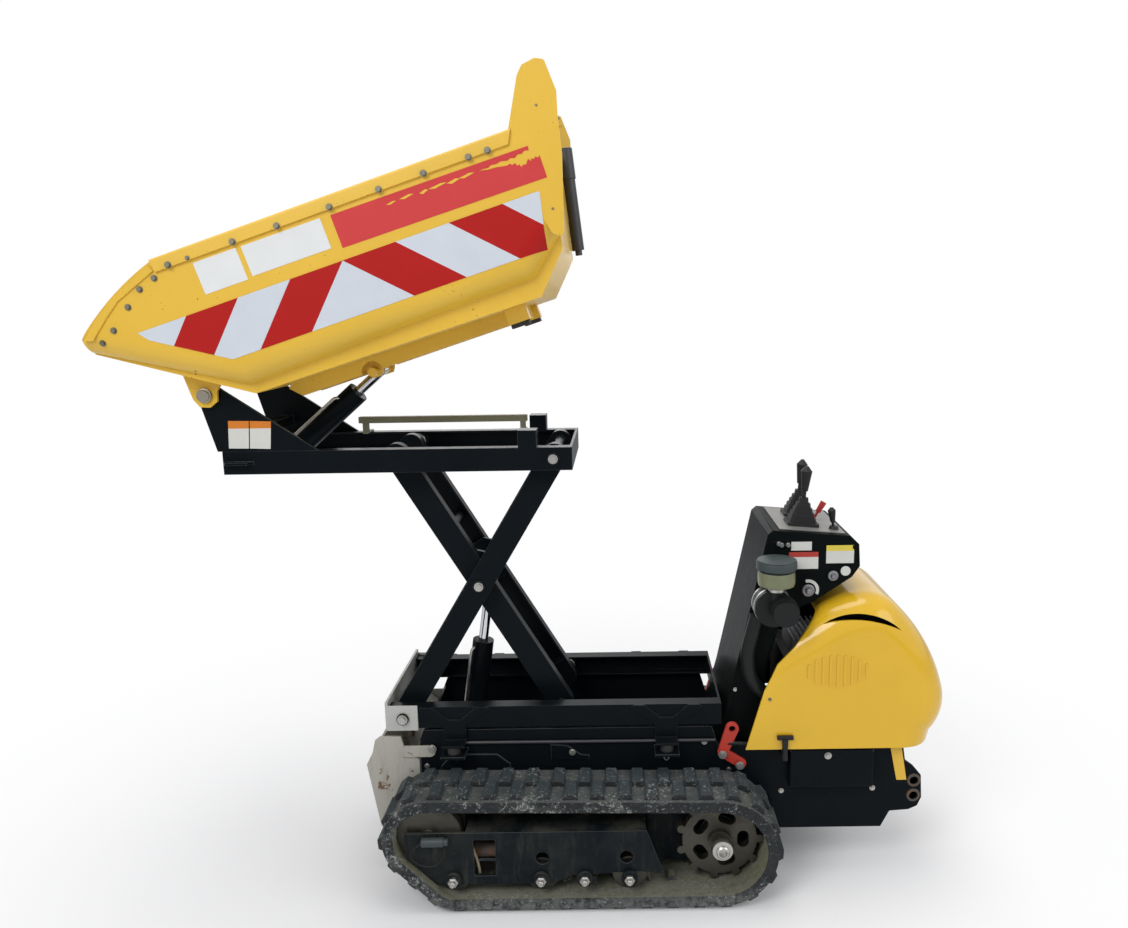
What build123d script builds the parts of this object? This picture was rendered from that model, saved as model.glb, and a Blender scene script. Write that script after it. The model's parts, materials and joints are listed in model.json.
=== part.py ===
from build123d import *
from math import acos, atan2, cos, degrees, hypot, pi, radians, sin
import os

# Tracked mini dumper with a scissor lift and a front-tipping skip.  Millimetres.
# +X points to the rear, where the operator walks, -X to the skip's nose, and +Z up.
# The origin is on the ground under the middle of the machine.  Everything is drawn
# with the lift raised and the skip part tipped, as the machine is parked.

os.makedirs("parts", exist_ok=True)

SIDES = (("left", -1), ("right", 1))      # left is the -Y side

# ---- chassis and engine bed
CHASSIS_HALF = 200        # middle to the outer face of the chassis side plates
CHASSIS_PLATE = 8
CHASSIS_FRONT = -386
CHASSIS_TOP, CHASSIS_FLOOR = 470, 240
BED_TOP, BED_FLOOR, BED_LENGTH = 405, 135, 504
BEAM_X, BEAM_SIZE = (-190, 120), 70       # cross beams that carry the track frames
TAIL_HOLES, TAIL_HOLE_R = (286, 237), 13  # heights and radius of the holes in the tail plates
COVER_DEPTH = 34          # engine bed's side covers
MOUNT_LOW, MOUNT_HIGH, MOUNT_R = 413, 437, 19   # rubber mounts
SHELF = 62                # reach of the shelves under them

# ---- tracks and running gear
TRACK_GAP = 15            # chassis to the tracks
TRACK_WIDTH = 180
SPROCKET_X, SPROCKET_R = 500, 176         # place and outer radius of the loop's rear end
IDLER_X, IDLER_Z, IDLER_R = -338, 224, 140
ROLLER_Z = 97             # height of the bottom rollers' axles
FRONT_ROLLER_X, MID_ROLLER_X, REAR_ROLLER_X = -268, -17, 236
SMALL_ROLLER_X = 108
LUG_HEIGHT, LUG_FOOT, LUG_SIDE = 15, 48, 14     # tread lugs, and their ends to the belt's edge
BELT = 32                 # rubber under the lugs
LUG_COUNT = 34            # lugs on each half of the track's width
HORN_HEIGHT, HORN_HALF, HORN_LONG = 15, 17, 26  # guide horns inside the belt
SPROCKET_TEETH, TOOTH_DEPTH, TOOTH_R = 11, 20, 12
WHEEL_GAP = 0.4           # rollers, idler and sprocket to the belt
WHEEL_SIDE = 10           # rollers to the track frame's plates
FRAME_PLATE = 8           # track frame plates
FRAME_TOP, FRAME_LOW = 240, 78
AXLE_R = 14

# ---- scissor lift
ARM_LENGTH = 905          # between an arm's end pins
ARM_ANGLE = 59            # arm's angle from level as the machine is parked
FOOT_X, FOOT_Z = -430, 512                # the fixed lower pins
ARM_HEIGHT, ARM_WIDTH, ARM_WALL = 72, 34, 6
OUTER_ARM, INNER_ARM = 120, 80            # middle to each pair's inner faces
PIN_R, PIN_PLAY = 15, 0.05
RAIL_OUT = 5              # chassis side plates to the rails' outer faces
RAIL_HEIGHT, RAIL_WIDTH, RAIL_WALL = 66, 40, 5
ROLLER_PLAY = 0.6         # arm rollers in their rails
END_ROOM = 27             # arm ends to the ends of the rails
BED_ROOM = 25             # arm ends, folded down, to the engine bed

# ---- skip
PIVOT_AHEAD, PIVOT_UP = 27, 161           # tipping pivot from the top frame's front and top
SKIP_TILT = 18            # skip's tilt as parked
SKIP_HALF = 340
SHEET = 5
BEND_R = 62               # bends between the skip's sides and its floor
FLOOR_IN = 52             # skip's sides to the edges of the floor channel under them
TOWER_IN = 2              # rails' outer faces to the towers'
TOWER_PLATE, LUG_PLATE = 10, 10
LUG_GAP = 5               # towers to the skip's pivot lugs
RIM_THICK, RIM_DEEP = 7, 30               # bolted rims of the skip

# ---- cylinders: base pin, eye, barrel length and radii
LIFT_BASE_BACK, LIFT_BASE_Z = 171, 380    # lift cylinder's foot from the lower pins
LIFT_EYE = (35, 48)       # along and square to the inner arms, from the middle pin
LIFT_BARREL, LIFT_R, LIFT_ROD_R = 300, 33, 15
TIP_BASE = (112, -232)    # from the tipping pivot
TIP_EYE = (431, -88)      # from the tipping pivot, in the skip's own level frame
TIP_BARREL, TIP_R, TIP_ROD_R = 332, 33, 15
BARREL_WALL = 7
BARREL_BACK = 33          # base pin to the barrel's closed end
BARREL_FLOOR = 43         # base pin to the bottom of the bore
ROD_HOLD = 17             # length of rod left in the barrel's mouth when fully out
EYE_R, EYE_PIN_R, EYE_HALF = 16, 9, 17
EYE_PLAY = 0.5            # rod eyes to the pins beside them

# ---- console and hood
CONSOLE_IN = 35           # chassis side plates to the console's sides
HOOD_OUT, HOOD_WALL = 38, 6               # chassis side plates to the hood's sides
HOOD_SEAT = 7             # hood's lower edge above the bed
HOOD_SHOULDER = 95        # radius between the hood's sides and its roof
HINGE_BACK, HINGE_DOWN = 585, 9           # hood's hinge from the bed's front and top


# ======================================================================= helpers
def keep(part, name):
    """Label a finished piece and write it."""
    part.label = name
    export_step(part, f"parts/{name}.step")


def across(y):
    """Drawing plane square to Y: its axes are X and Z."""
    return Plane(origin=(0, y, 0), x_dir=(1, 0, 0), z_dir=(0, -1, 0))


def slab(outline, y_low, y_high, mode=Mode.ADD, base=None, corner=0):
    """Plate with its outline in X and Z, between two places across."""
    low, high = min(y_low, y_high), max(y_low, y_high)
    plane = (base or across(0)).offset(-high)
    with BuildSketch(plane) as face:
        with BuildLine():
            Polyline(*outline, close=True)
        make_face()
        if corner:
            fillet(face.vertices(), corner)
    extrude(face.sketch, amount=high - low, mode=mode)


def block(x0, x1, y0, y1, z0, z1, mode=Mode.ADD):
    """Box between two corners."""
    with Locations(((x0 + x1) / 2, (y0 + y1) / 2, (z0 + z1) / 2)):
        Box(abs(x1 - x0), abs(y1 - y0), abs(z1 - z0), mode=mode)


def rod_across(x, z, y0, y1, radius, mode=Mode.ADD):
    """Round bar or hole along Y."""
    with Locations(Location((x, (y0 + y1) / 2, z), (90, 0, 0))):
        Cylinder(radius, abs(y1 - y0), mode=mode)


def turned(point, angle):
    """A point turned about the origin, X towards Z."""
    c, s = cos(radians(angle)), sin(radians(angle))
    return point[0] * c - point[1] * s, point[0] * s + point[1] * c


def shifted(origin, point):
    return origin[0] + point[0], origin[1] + point[1]


# ======================================================================= places worked out
BED_FRONT = FOOT_X + ARM_LENGTH + BED_ROOM
BED_REAR = BED_FRONT + BED_LENGTH
BASE_REAR = BED_FRONT + 16
TRACK_IN = CHASSIS_HALF + TRACK_GAP
TRACK_OUT = TRACK_IN + TRACK_WIDTH
TRACK_MID = (TRACK_IN + TRACK_OUT) / 2
FRAME_IN, FRAME_OUT = TRACK_IN + 25, TRACK_OUT - 23
ROLLER_HALF = (FRAME_OUT - FRAME_IN) / 2 - FRAME_PLATE - WHEEL_SIDE
RIM_GROOVE = 22           # half the groove between a wheel's two rims
RIM_IN = LUG_HEIGHT + BELT + WHEEL_GAP    # ground to the rollers' rims
RAIL_HALF = CHASSIS_HALF + RAIL_OUT
ROLLER_R = RAIL_HEIGHT / 2 - RAIL_WALL - ROLLER_PLAY
TOWER_OUT = RAIL_HALF - TOWER_IN
CONSOLE_HALF = CHASSIS_HALF - CONSOLE_IN
HOOD_HALF = CHASSIS_HALF + HOOD_OUT
SUPPORT_X = (CHASSIS_FRONT + 108, BED_FRONT - 148)    # V supports of the base frame

ARM_DIR = turned((1, 0), ARM_ANGLE)
HEAD_X = FOOT_X + ARM_LENGTH * ARM_DIR[0]         # the fixed upper pins
HEAD_Z = FOOT_Z + ARM_LENGTH * ARM_DIR[1]
CENTRE = ((FOOT_X + HEAD_X) / 2, (FOOT_Z + HEAD_Z) / 2)
INNER_DIR = (-ARM_DIR[0], ARM_DIR[1])             # along the inner arms, upwards
INNER_SIDE = (ARM_DIR[1], ARM_DIR[0])             # square to them, to the rear


def on_inner(point):
    """A place given along and square to the inner arms, from the middle pin."""
    along, square = point
    return (
        CENTRE[0] + along * INNER_DIR[0] + square * INNER_SIDE[0],
        CENTRE[1] + along * INNER_DIR[1] + square * INNER_SIDE[1],
    )


BASE_TOP, BASE_LOW = FOOT_Z + RAIL_HEIGHT / 2, FOOT_Z - RAIL_HEIGHT / 2
TOP_TOP, TOP_LOW = HEAD_Z + RAIL_HEIGHT / 2, HEAD_Z - RAIL_HEIGHT / 2
TOP_FRONT, TOP_REAR = HEAD_X - ARM_LENGTH - END_ROOM, HEAD_X + 54
PIVOT = (TOP_FRONT - PIVOT_AHEAD, TOP_TOP + PIVOT_UP)
LIFT_BASE = (FOOT_X + LIFT_BASE_BACK, LIFT_BASE_Z)
LIFT_EYE_AT = on_inner(LIFT_EYE)
TIP_BASE_AT = shifted(PIVOT, TIP_BASE)
TIP_EYE_AT = shifted(PIVOT, turned(TIP_EYE, SKIP_TILT))
SKIP_PLANE = Plane(
    origin=(PIVOT[0], 0, PIVOT[1]),
    x_dir=(cos(radians(SKIP_TILT)), 0, sin(radians(SKIP_TILT))),
    z_dir=(0, -1, 0),
)


# ======================================================================= tracks
LOOP = (                                          # x, z, radius, going round the loop
    (FRONT_ROLLER_X, ROLLER_Z, ROLLER_Z),
    (SPROCKET_X, SPROCKET_R, SPROCKET_R),
    (IDLER_X, IDLER_Z, IDLER_R),
)


def loop_stretches(inset):
    """The loop drawn in by inset, as (kind, start, end, centre, radius, angles)."""
    wheels = [(x, z, r - inset) for x, z, r in LOOP]
    count = len(wheels)
    normals = []
    for i in range(count):
        (xa, za, ra), (xb, zb, rb) = wheels[i], wheels[(i + 1) % count]
        heading = atan2(zb - za, xb - xa)
        normals.append(heading - acos((ra - rb) / hypot(xb - xa, zb - za)))
    stretches = []
    for i in range(count):
        x, z, r = wheels[i]
        start, end = normals[i - 1], normals[i]
        while end < start:
            end += 2 * pi
        stretches.append(("arc", (x, z), r, start, end))
        nx, nz, nr = wheels[(i + 1) % count]
        stretches.append((
            "run",
            (x + r * cos(end), z + r * sin(end)),
            (nx + nr * cos(end), nz + nr * sin(end)),
            end,
            0,
        ))
    return stretches


def stretch_length(kind, a, b, c, d):
    return b * (d - c) if kind == "arc" else hypot(b[0] - a[0], b[1] - a[1])


def loop_length(inset):
    return sum(stretch_length(*stretch) for stretch in loop_stretches(inset))


def loop_point(inset, distance):
    """Place on the loop and its outward direction in degrees."""
    left = distance % loop_length(inset)
    for kind, a, b, c, d in loop_stretches(inset):
        size = stretch_length(kind, a, b, c, d)
        if left <= size:
            if kind == "arc":
                angle = c + left / b
                return a[0] + b * cos(angle), a[1] + b * sin(angle), degrees(angle)
            share = left / size
            return a[0] + share * (b[0] - a[0]), a[1] + share * (b[1] - a[1]), degrees(c)
        left -= size
    return loop_point(inset, 0)


def loop_outline(inset):
    """Closed line of the loop in the current sketch's line block."""
    for kind, a, b, c, d in loop_stretches(inset):
        if kind == "arc":
            CenterArc(a, b, degrees(c), degrees(d - c))
        else:
            Line(a, b)


def belt(inset_out, inset_in, y_low, y_high):
    """The rubber belt between two insets of the loop."""
    with BuildSketch(across(y_high)) as ring:
        with BuildLine():
            loop_outline(inset_out)
        make_face()
        with BuildLine():
            loop_outline(inset_in)
        make_face(mode=Mode.SUBTRACT)
    extrude(ring.sketch, amount=y_high - y_low)


LUG_PITCH = loop_length(LUG_HEIGHT) / LUG_COUNT
SUNK = 2                                          # how far lugs and horns run into the belt


def tread(y_low, y_high, offset):
    """A row of lugs around the belt."""
    with BuildSketch(across(y_high)) as row:
        for k in range(LUG_COUNT):
            x, z, out = loop_point(LUG_HEIGHT, (k + offset) * LUG_PITCH)
            with Locations(Location((x, z), out)):
                with Locations(((LUG_HEIGHT - SUNK) / 2, 0)):
                    Trapezoid(LUG_FOOT, LUG_HEIGHT + SUNK, 60, rotation=-90)
    extrude(row.sketch, amount=y_high - y_low)


def horns(y_mid):
    """Guide horns inside the belt, left off around the sprocket."""
    inset = LUG_HEIGHT + BELT
    clear = SPROCKET_R - inset + HORN_HEIGHT
    with BuildSketch(across(y_mid + HORN_HALF)) as row:
        for k in range(LUG_COUNT):
            x, z, out = loop_point(LUG_HEIGHT, k * LUG_PITCH)
            if hypot(x - SPROCKET_X, z - SPROCKET_R) < clear + BELT:
                continue
            with Locations(Location((x, z), out)):
                with Locations((-BELT - HORN_HEIGHT / 2 + SUNK / 2, 0)):
                    Trapezoid(HORN_LONG, HORN_HEIGHT + SUNK, 75, rotation=90)
    extrude(row.sketch, amount=2 * HORN_HALF)


def wheel(x, z, mid, rim, drop):
    """Roller or idler: two rims with a groove between them for the guide horns."""
    for edge in (-1, 1):
        rod_across(x, z, mid + edge * RIM_GROOVE, mid + edge * ROLLER_HALF, rim)
    rod_across(x, z, mid - RIM_GROOVE, mid + RIM_GROOVE, rim - drop)


for side, s in SIDES:
    mid = s * TRACK_MID
    inner, outer = sorted((s * TRACK_IN, s * TRACK_OUT))
    with BuildPart() as track:
        belt(LUG_HEIGHT, LUG_HEIGHT + BELT, inner, outer)
        tread(inner + LUG_SIDE, mid + 5, 0.0)
        tread(mid - 5, outer - LUG_SIDE, 0.5)
        horns(mid)
    keep(track.part, f"track_{side}")

    with BuildPart() as sprocket:
        tip_r = SPROCKET_R - RIM_IN
        root_r = tip_r - TOOTH_DEPTH
        disc, hub_end, cap_end = 14, 32, 50       # half the disc's thickness, and out along the hub
        rod_across(SPROCKET_X, SPROCKET_R, mid - disc, mid + disc, root_r)
        with BuildSketch(across(mid + disc)) as teeth:
            with Locations((SPROCKET_X, SPROCKET_R)):
                with PolarLocations(tip_r - TOOTH_R, SPROCKET_TEETH):
                    Circle(TOOTH_R)
                with PolarLocations(root_r, SPROCKET_TEETH):
                    Rectangle(1.5 * TOOTH_DEPTH, 2 * TOOTH_R - 2)
        extrude(teeth.sketch, amount=2 * disc)
        with BuildSketch(across(mid + disc)) as windows:
            with Locations((SPROCKET_X, SPROCKET_R)):
                with PolarLocations(68, 5):
                    SlotOverall(52, 34, rotation=90)
        extrude(windows.sketch, amount=2 * disc, mode=Mode.SUBTRACT)
        rod_across(SPROCKET_X, SPROCKET_R, mid - s * disc, mid + s * hub_end, 34)
        rod_across(SPROCKET_X, SPROCKET_R, mid + s * hub_end, mid + s * cap_end, 20)
        rod_across(SPROCKET_X, SPROCKET_R, mid + s * cap_end, mid + s * (cap_end + disc), 11)
    keep(sprocket.part, f"sprocket_{side}")

    with BuildPart() as motor:
        case_end = s * (FRAME_IN + 22)
        rod_across(SPROCKET_X, SPROCKET_R, s * CHASSIS_HALF, case_end, 46)
        rod_across(SPROCKET_X, SPROCKET_R, case_end, mid - s * disc, 58)
    keep(motor.part, f"drive_motor_{side}")

    axle_in, axle_out = s * (FRAME_IN + FRAME_PLATE), s * (FRAME_OUT - FRAME_PLATE)
    with BuildPart() as idler:
        wheel(IDLER_X, IDLER_Z, mid, IDLER_R - RIM_IN, 26)
        rod_across(IDLER_X, IDLER_Z, axle_in, axle_out, AXLE_R)
    keep(idler.part, f"idler_{side}")

    with BuildPart() as rollers:
        for x in (FRONT_ROLLER_X, MID_ROLLER_X, REAR_ROLLER_X):
            wheel(x, ROLLER_Z, mid, ROLLER_Z - RIM_IN, 20)
            rod_across(x, ROLLER_Z, axle_in, axle_out, AXLE_R)
    keep(rollers.part, f"rollers_{side}")

    with BuildPart() as track_frame:
        outline = (
            (-404, FRAME_TOP), (-404, 162), (-352, 112), (-318, FRAME_LOW), (16, FRAME_LOW),
            (72, 104), (268, 112), (336, 104), (286, FRAME_TOP),
        )
        slab(outline, axle_out, s * FRAME_OUT)
        slab(outline, s * FRAME_IN, axle_in)
        block(-232, 284, s * FRAME_IN, s * FRAME_OUT, FRAME_TOP - FRAME_PLATE, FRAME_TOP)
        # grease window, and a keyhole above each of two rollers
        block(-209, -147, axle_out, s * FRAME_OUT, 105, 217, Mode.SUBTRACT)
        for x in (MID_ROLLER_X + 4, REAR_ROLLER_X - 8):
            rod_across(x, 158, axle_out, s * FRAME_OUT, 19, Mode.SUBTRACT)
        # bosses of the axles
        for x in (FRONT_ROLLER_X, MID_ROLLER_X, SMALL_ROLLER_X, REAR_ROLLER_X):
            rod_across(x, ROLLER_Z + 2, s * FRAME_OUT, s * (FRAME_OUT + 8), 15)
    keep(track_frame.part, f"track_frame_{side}")


# ======================================================================= chassis
INSIDE = CHASSIS_HALF - CHASSIS_PLATE
HINGE = (BED_FRONT + HINGE_BACK, BED_TOP - HINGE_DOWN)
HINGE_ARM = (96, 106)                             # hinge brackets, across
TAIL_HOLE_X = BED_FRONT + 599


def from_bed(*points):
    """Places given back from the engine bed's front, and up from the ground."""
    return [(BED_FRONT + x, z) for x, z in points]


with BuildPart() as chassis:
    side_outline = (
        (CHASSIS_FRONT, CHASSIS_FLOOR),
        *from_bed(
            (60, CHASSIS_FLOOR), (130, BED_FLOOR), (BED_LENGTH, BED_FLOOR), (530, 186), (587, 190),
            (613, 202), (625, 230), (621, 302), (595, 334), (571, 352), (563, BED_TOP), (8, BED_TOP),
            (-12, CHASSIS_TOP),
        ),
        (CHASSIS_FRONT + 12, CHASSIS_TOP), (CHASSIS_FRONT, CHASSIS_TOP - 30),
    )
    for _, s in SIDES:
        slab(side_outline, s * INSIDE, s * CHASSIS_HALF)
        # pressed stiffener, and the rear support's gusset
        slab(
            ((-330, 300), (-325, 354), (-290, 392), (-155, 390), (-118, 360), (-112, 300)),
            s * CHASSIS_HALF, s * (CHASSIS_HALF + 4),
        )
        slab(((6, 372), (6, 420), (56, 415), (94, 387), (120, 384), (120, 372)),
             s * CHASSIS_HALF, s * (CHASSIS_HALF + 4))
        # shelves under the rubber mounts
        for x in SUPPORT_X:
            block(x - 36, x + 36, s * CHASSIS_HALF, s * (CHASSIS_HALF + SHELF), MOUNT_LOW - 8, MOUNT_LOW)
            block(x - 4, x + 4, s * CHASSIS_HALF, s * (CHASSIS_HALF + 12), MOUNT_LOW - 41, MOUNT_LOW - 8)
        for z in TAIL_HOLES:
            rod_across(TAIL_HOLE_X, z, s * INSIDE, s * CHASSIS_HALF, TAIL_HOLE_R, Mode.SUBTRACT)
keep(chassis.part, "chassis_frame")

with BuildPart() as tub:
    block(CHASSIS_FRONT, BED_FRONT + 10, -INSIDE, INSIDE, CHASSIS_FLOOR, CHASSIS_FLOOR + CHASSIS_PLATE)
    block(CHASSIS_FRONT, CHASSIS_FRONT + CHASSIS_PLATE, -INSIDE, INSIDE, CHASSIS_FLOOR, CHASSIS_TOP - 30)
    # lift cylinder's foot
    for s in (-1, 1):
        block(
            LIFT_BASE[0] - 24, LIFT_BASE[0] + 24, s * (EYE_HALF + 2), s * (EYE_HALF + 14),
            CHASSIS_FLOOR, LIFT_BASE[1],
        )
        rod_across(*LIFT_BASE, s * (EYE_HALF + 2), s * (EYE_HALF + 14), 24)
    rod_across(*LIFT_BASE, -EYE_HALF - 16, EYE_HALF + 16, EYE_PIN_R)
keep(tub.part, "chassis_floor")

with BuildPart() as bed:
    wall_x = BED_FRONT + 10
    block(wall_x, wall_x + CHASSIS_PLATE, -INSIDE, INSIDE, CHASSIS_FLOOR, BED_TOP)
    slab(
        from_bed((10, CHASSIS_FLOOR), (60, CHASSIS_FLOOR), (130, BED_FLOOR), (BED_LENGTH, BED_FLOOR),
                 (BED_LENGTH, BED_FLOOR + CHASSIS_PLATE), (135, BED_FLOOR + CHASSIS_PLATE),
                 (65, CHASSIS_FLOOR + CHASSIS_PLATE), (10, CHASSIS_FLOOR + CHASSIS_PLATE)),
        -INSIDE, INSIDE,
    )
    block(BED_REAR - CHASSIS_PLATE, BED_REAR, -INSIDE, INSIDE, BED_FLOOR, BED_TOP)
    # hood's hinge brackets and pins
    for s in (-1, 1):
        block(BED_REAR, HINGE[0], s * HINGE_ARM[0], s * HINGE_ARM[1], HINGE[1] - 10, HINGE[1] + 9)
        rod_across(*HINGE, s * HINGE_ARM[0], s * HINGE_ARM[1], 10)
        rod_across(*HINGE, s * HINGE_ARM[0], s * (HINGE_ARM[1] + 16), 6)
keep(bed.part, "engine_bed")

with BuildPart() as beams:
    for x in BEAM_X:
        block(x, x + BEAM_SIZE, -FRAME_IN, FRAME_IN, CHASSIS_FLOOR - BEAM_SIZE, CHASSIS_FLOOR)
keep(beams.part, "axle_beams")

with BuildPart() as engine:
    block(
        BED_FRONT + 220, BED_FRONT + 485, -CONSOLE_HALF + 15, CONSOLE_HALF - 15,
        BED_FLOOR + CHASSIS_PLATE, 640,
    )
keep(engine.part, "engine_block")

for side, s in SIDES:
    with BuildPart() as cover:
        block(
            BED_FRONT + 217, BED_FRONT + 467, s * CHASSIS_HALF, s * (CHASSIS_HALF + COVER_DEPTH),
            BED_TOP - 120, BED_TOP,
        )
        fillet(cover.faces().sort_by(Axis.Y)[0 if s < 0 else -1].edges(), 6)
    keep(cover.part, f"side_cover_{side}")

    with BuildPart() as mounts:
        for x in SUPPORT_X:
            with Locations((x, s * (CHASSIS_HALF + 32), (MOUNT_LOW + MOUNT_HIGH) / 2)):
                Cylinder(MOUNT_R, MOUNT_HIGH - MOUNT_LOW)
    keep(mounts.part, f"rubber_mounts_{side}")

    # boomerang plate: a lobe with the tie-down hole over two bolted lobes
    with BuildPart() as hook:
        top, front, rear = from_bed((48, 465), (20, 390), (76, 354))
        plate = 12
        near, far = sorted((s * CHASSIS_HALF, s * (CHASSIS_HALF + plate)))
        for upper, lower in ((top, front), (front, rear)):
            with BuildSketch(across(far)) as strap:
                with BuildLine():
                    CenterArc(upper, 20 if upper is top else 15, 0, 360)
                    CenterArc(lower, 15, 0, 360)
                make_hull()
            extrude(strap.sketch, amount=plate)
        rod_across(*top, near, far, 10, Mode.SUBTRACT)
        for bolt in (front, rear):
            rod_across(*bolt, s * (CHASSIS_HALF + plate), s * (CHASSIS_HALF + plate + 7), 9)
    keep(hook.part, f"tie_down_{side}")

with BuildPart() as bumper:
    strap = 6
    outline = (
        (-521, 438), (-505, 450), (-443, 450), (-433, 409), (-390, 376), (-390, 300),
        (-422, 290), (-492, 134), (-518, 160), (-550, 361), (-530, 400),
    )
    for _, s in SIDES:
        slab(outline, s * INSIDE, s * CHASSIS_HALF)
        with BuildSketch(across(max(s * CHASSIS_HALF, s * (CHASSIS_HALF + strap)))) as arm:
            with Locations((-393, 404)):
                SlotOverall(108, 36)
        extrude(arm.sketch, amount=strap)
    slab(((-550, 361), (-518, 160), (-510, 160), (-542, 361)), -INSIDE, INSIDE)
    slab(((-530, 400), (-550, 361), (-542, 361), (-523, 398)), -INSIDE, INSIDE)
    block(CHASSIS_FRONT - 12, CHASSIS_FRONT, -INSIDE, INSIDE, 300, 376)
keep(bumper.part, "front_bumper")


# ======================================================================= base frame
def rails(x_front, x_rear, z_mid):
    """Pair of channels, open towards the middle, for the arms' rollers."""
    low, high = z_mid - RAIL_HEIGHT / 2, z_mid + RAIL_HEIGHT / 2
    for _, s in SIDES:
        block(x_front, x_rear, s * (RAIL_HALF - RAIL_WIDTH), s * RAIL_HALF, low, high)
        block(
            x_front, x_rear, s * (RAIL_HALF - RAIL_WIDTH), s * (RAIL_HALF - RAIL_WALL),
            low + RAIL_WALL, high - RAIL_WALL, Mode.SUBTRACT,
        )


BASE_FRONT = FOOT_X - 44
SUPPORT_PLATE, ANGLE_PLATE = 6, 6

with BuildPart() as base_frame:
    rails(BASE_FRONT, BASE_REAR, FOOT_Z)
    block(BASE_REAR - 6, BASE_REAR, -RAIL_HALF, RAIL_HALF, BASE_LOW, BASE_TOP)
    for _, s in SIDES:
        rod_across(FOOT_X, FOOT_Z, s * (RAIL_HALF - 10), s * (RAIL_HALF + 10), PIN_R + PIN_PLAY, Mode.SUBTRACT)
        # V supports that stand on the rubber mounts
        for x in SUPPORT_X:
            outline = (
                (x - 33, MOUNT_HIGH), (x + 33, MOUNT_HIGH), (x + 33, 490), (x + 104, BASE_TOP - 7),
                (x + 96, BASE_TOP), (x + 66, BASE_TOP), (x + 18, 505), (x - 18, 505), (x - 66, BASE_TOP),
                (x - 96, BASE_TOP), (x - 104, BASE_TOP - 7), (x - 33, 490),
            )
            slab(outline, s * RAIL_HALF, s * (RAIL_HALF + SUPPORT_PLATE))
            block(
                x - 33, x + 33, s * RAIL_HALF, s * (RAIL_HALF + 49),
                MOUNT_HIGH, MOUNT_HIGH + SUPPORT_PLATE,
            )
keep(base_frame.part, "base_frame")

with BuildPart() as cross_angle:
    front = BASE_FRONT - 8
    out = RAIL_HALF + ANGLE_PLATE
    block(front, BASE_FRONT, -out, out, FOOT_Z - 38, FOOT_Z + 52)
    for _, s in SIDES:
        block(front, FOOT_X + 44, s * RAIL_HALF, s * out, FOOT_Z - 38, FOOT_Z + 40)
        rod_across(FOOT_X, FOOT_Z, s * RAIL_HALF, s * (RAIL_HALF + 10), PIN_R + PIN_PLAY, Mode.SUBTRACT)
keep(cross_angle.part, "front_cross_angle")


# ======================================================================= scissor arms
PIN_FIT = 0.3             # pin heads to the plates they hold
PIN_HEAD = (3, 6)         # how far a pin's head stands out, over its radius and along it
AXLE_PIN_R = 12


def arm_plane(direction):
    return Plane(origin=(CENTRE[0], 0, CENTRE[1]), x_dir=(direction[0], 0, direction[1]), z_dir=(0, -1, 0))


def inner_end(end):
    """Axis of the inner arms' rollers: -1 for the lower ones, 1 for the upper ones."""
    return on_inner((end * ARM_LENGTH / 2, 0))


def channel_arm(plane, s, inner):
    """One arm: a channel open towards the middle, with round solid ends."""
    half, outer = ARM_LENGTH / 2, inner + ARM_WIDTH
    y_low, y_high = sorted((s * inner, s * outer))
    with BuildSketch(plane.offset(-y_high)) as side:
        SlotOverall(ARM_LENGTH + ARM_HEIGHT, ARM_HEIGHT)
    extrude(side.sketch, amount=ARM_WIDTH)
    web_low, web_high = sorted((s * inner, s * (outer - ARM_WALL)))
    with BuildSketch(plane.offset(-web_high)) as hollow:
        with Locations((-half / 2, 0), (half / 2, 0)):
            Rectangle(half - 2 * ARM_HEIGHT + 30, ARM_HEIGHT - 2 * ARM_WALL)
    extrude(hollow.sketch, amount=web_high - web_low, mode=Mode.SUBTRACT)


def headed_pin(x, z, s, start, grip, radius):
    """A pin along Y with a head beyond what it grips."""
    rod_across(x, z, s * start, s * (grip + PIN_FIT), radius)
    rod_across(x, z, s * (grip + PIN_FIT), s * (grip + PIN_FIT + PIN_HEAD[1]), radius + PIN_HEAD[0])


with BuildPart() as outer_arms:
    plane = arm_plane(ARM_DIR)
    for _, s in SIDES:
        channel_arm(plane, s, OUTER_ARM)
        headed_pin(FOOT_X, FOOT_Z, s, OUTER_ARM, RAIL_HALF + ANGLE_PLATE, PIN_R)
        headed_pin(HEAD_X, HEAD_Z, s, OUTER_ARM, RAIL_HALF, PIN_R)
        rod_across(*CENTRE, s * OUTER_ARM, s * (OUTER_ARM + ARM_WIDTH), PIN_R + PIN_PLAY, Mode.SUBTRACT)
    for x, z in ((FOOT_X, FOOT_Z), (HEAD_X, HEAD_Z)):
        rod_across(x, z, -OUTER_ARM, OUTER_ARM, 20)
keep(outer_arms.part, "outer_arms")

with BuildPart() as inner_arms:
    plane = arm_plane(INNER_DIR)
    half_high = ARM_HEIGHT / 2 - 3
    for _, s in SIDES:
        channel_arm(plane, s, INNER_ARM)
        headed_pin(*CENTRE, s, INNER_ARM, OUTER_ARM + ARM_WIDTH, PIN_R)
        for end in (-1, 1):
            rod_across(*inner_end(end), s * INNER_ARM, s * (RAIL_HALF - RAIL_WALL - 3), AXLE_PIN_R)
        # bracket and stub pin beside the lift cylinder's eye
        along, square = LIFT_EYE
        ear = [
            (along - 87, -half_high), (along - 65, half_high), (along - 20, square + 16),
            (along, square + 24), (along + 20, square + 16), (along + 51, half_high),
            (along + 51, -half_high),
        ]
        slab([on_inner(p) for p in ear], s * (INNER_ARM - 12), s * INNER_ARM)
        rod_across(*LIFT_EYE_AT, s * (EYE_HALF + EYE_PLAY), s * INNER_ARM, EYE_PIN_R + 5)
    tie = on_inner((LIFT_EYE[0] + 150, 0))
    web = INNER_ARM + ARM_WIDTH - ARM_WALL
    rod_across(*tie, -web, web, 20)
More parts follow.
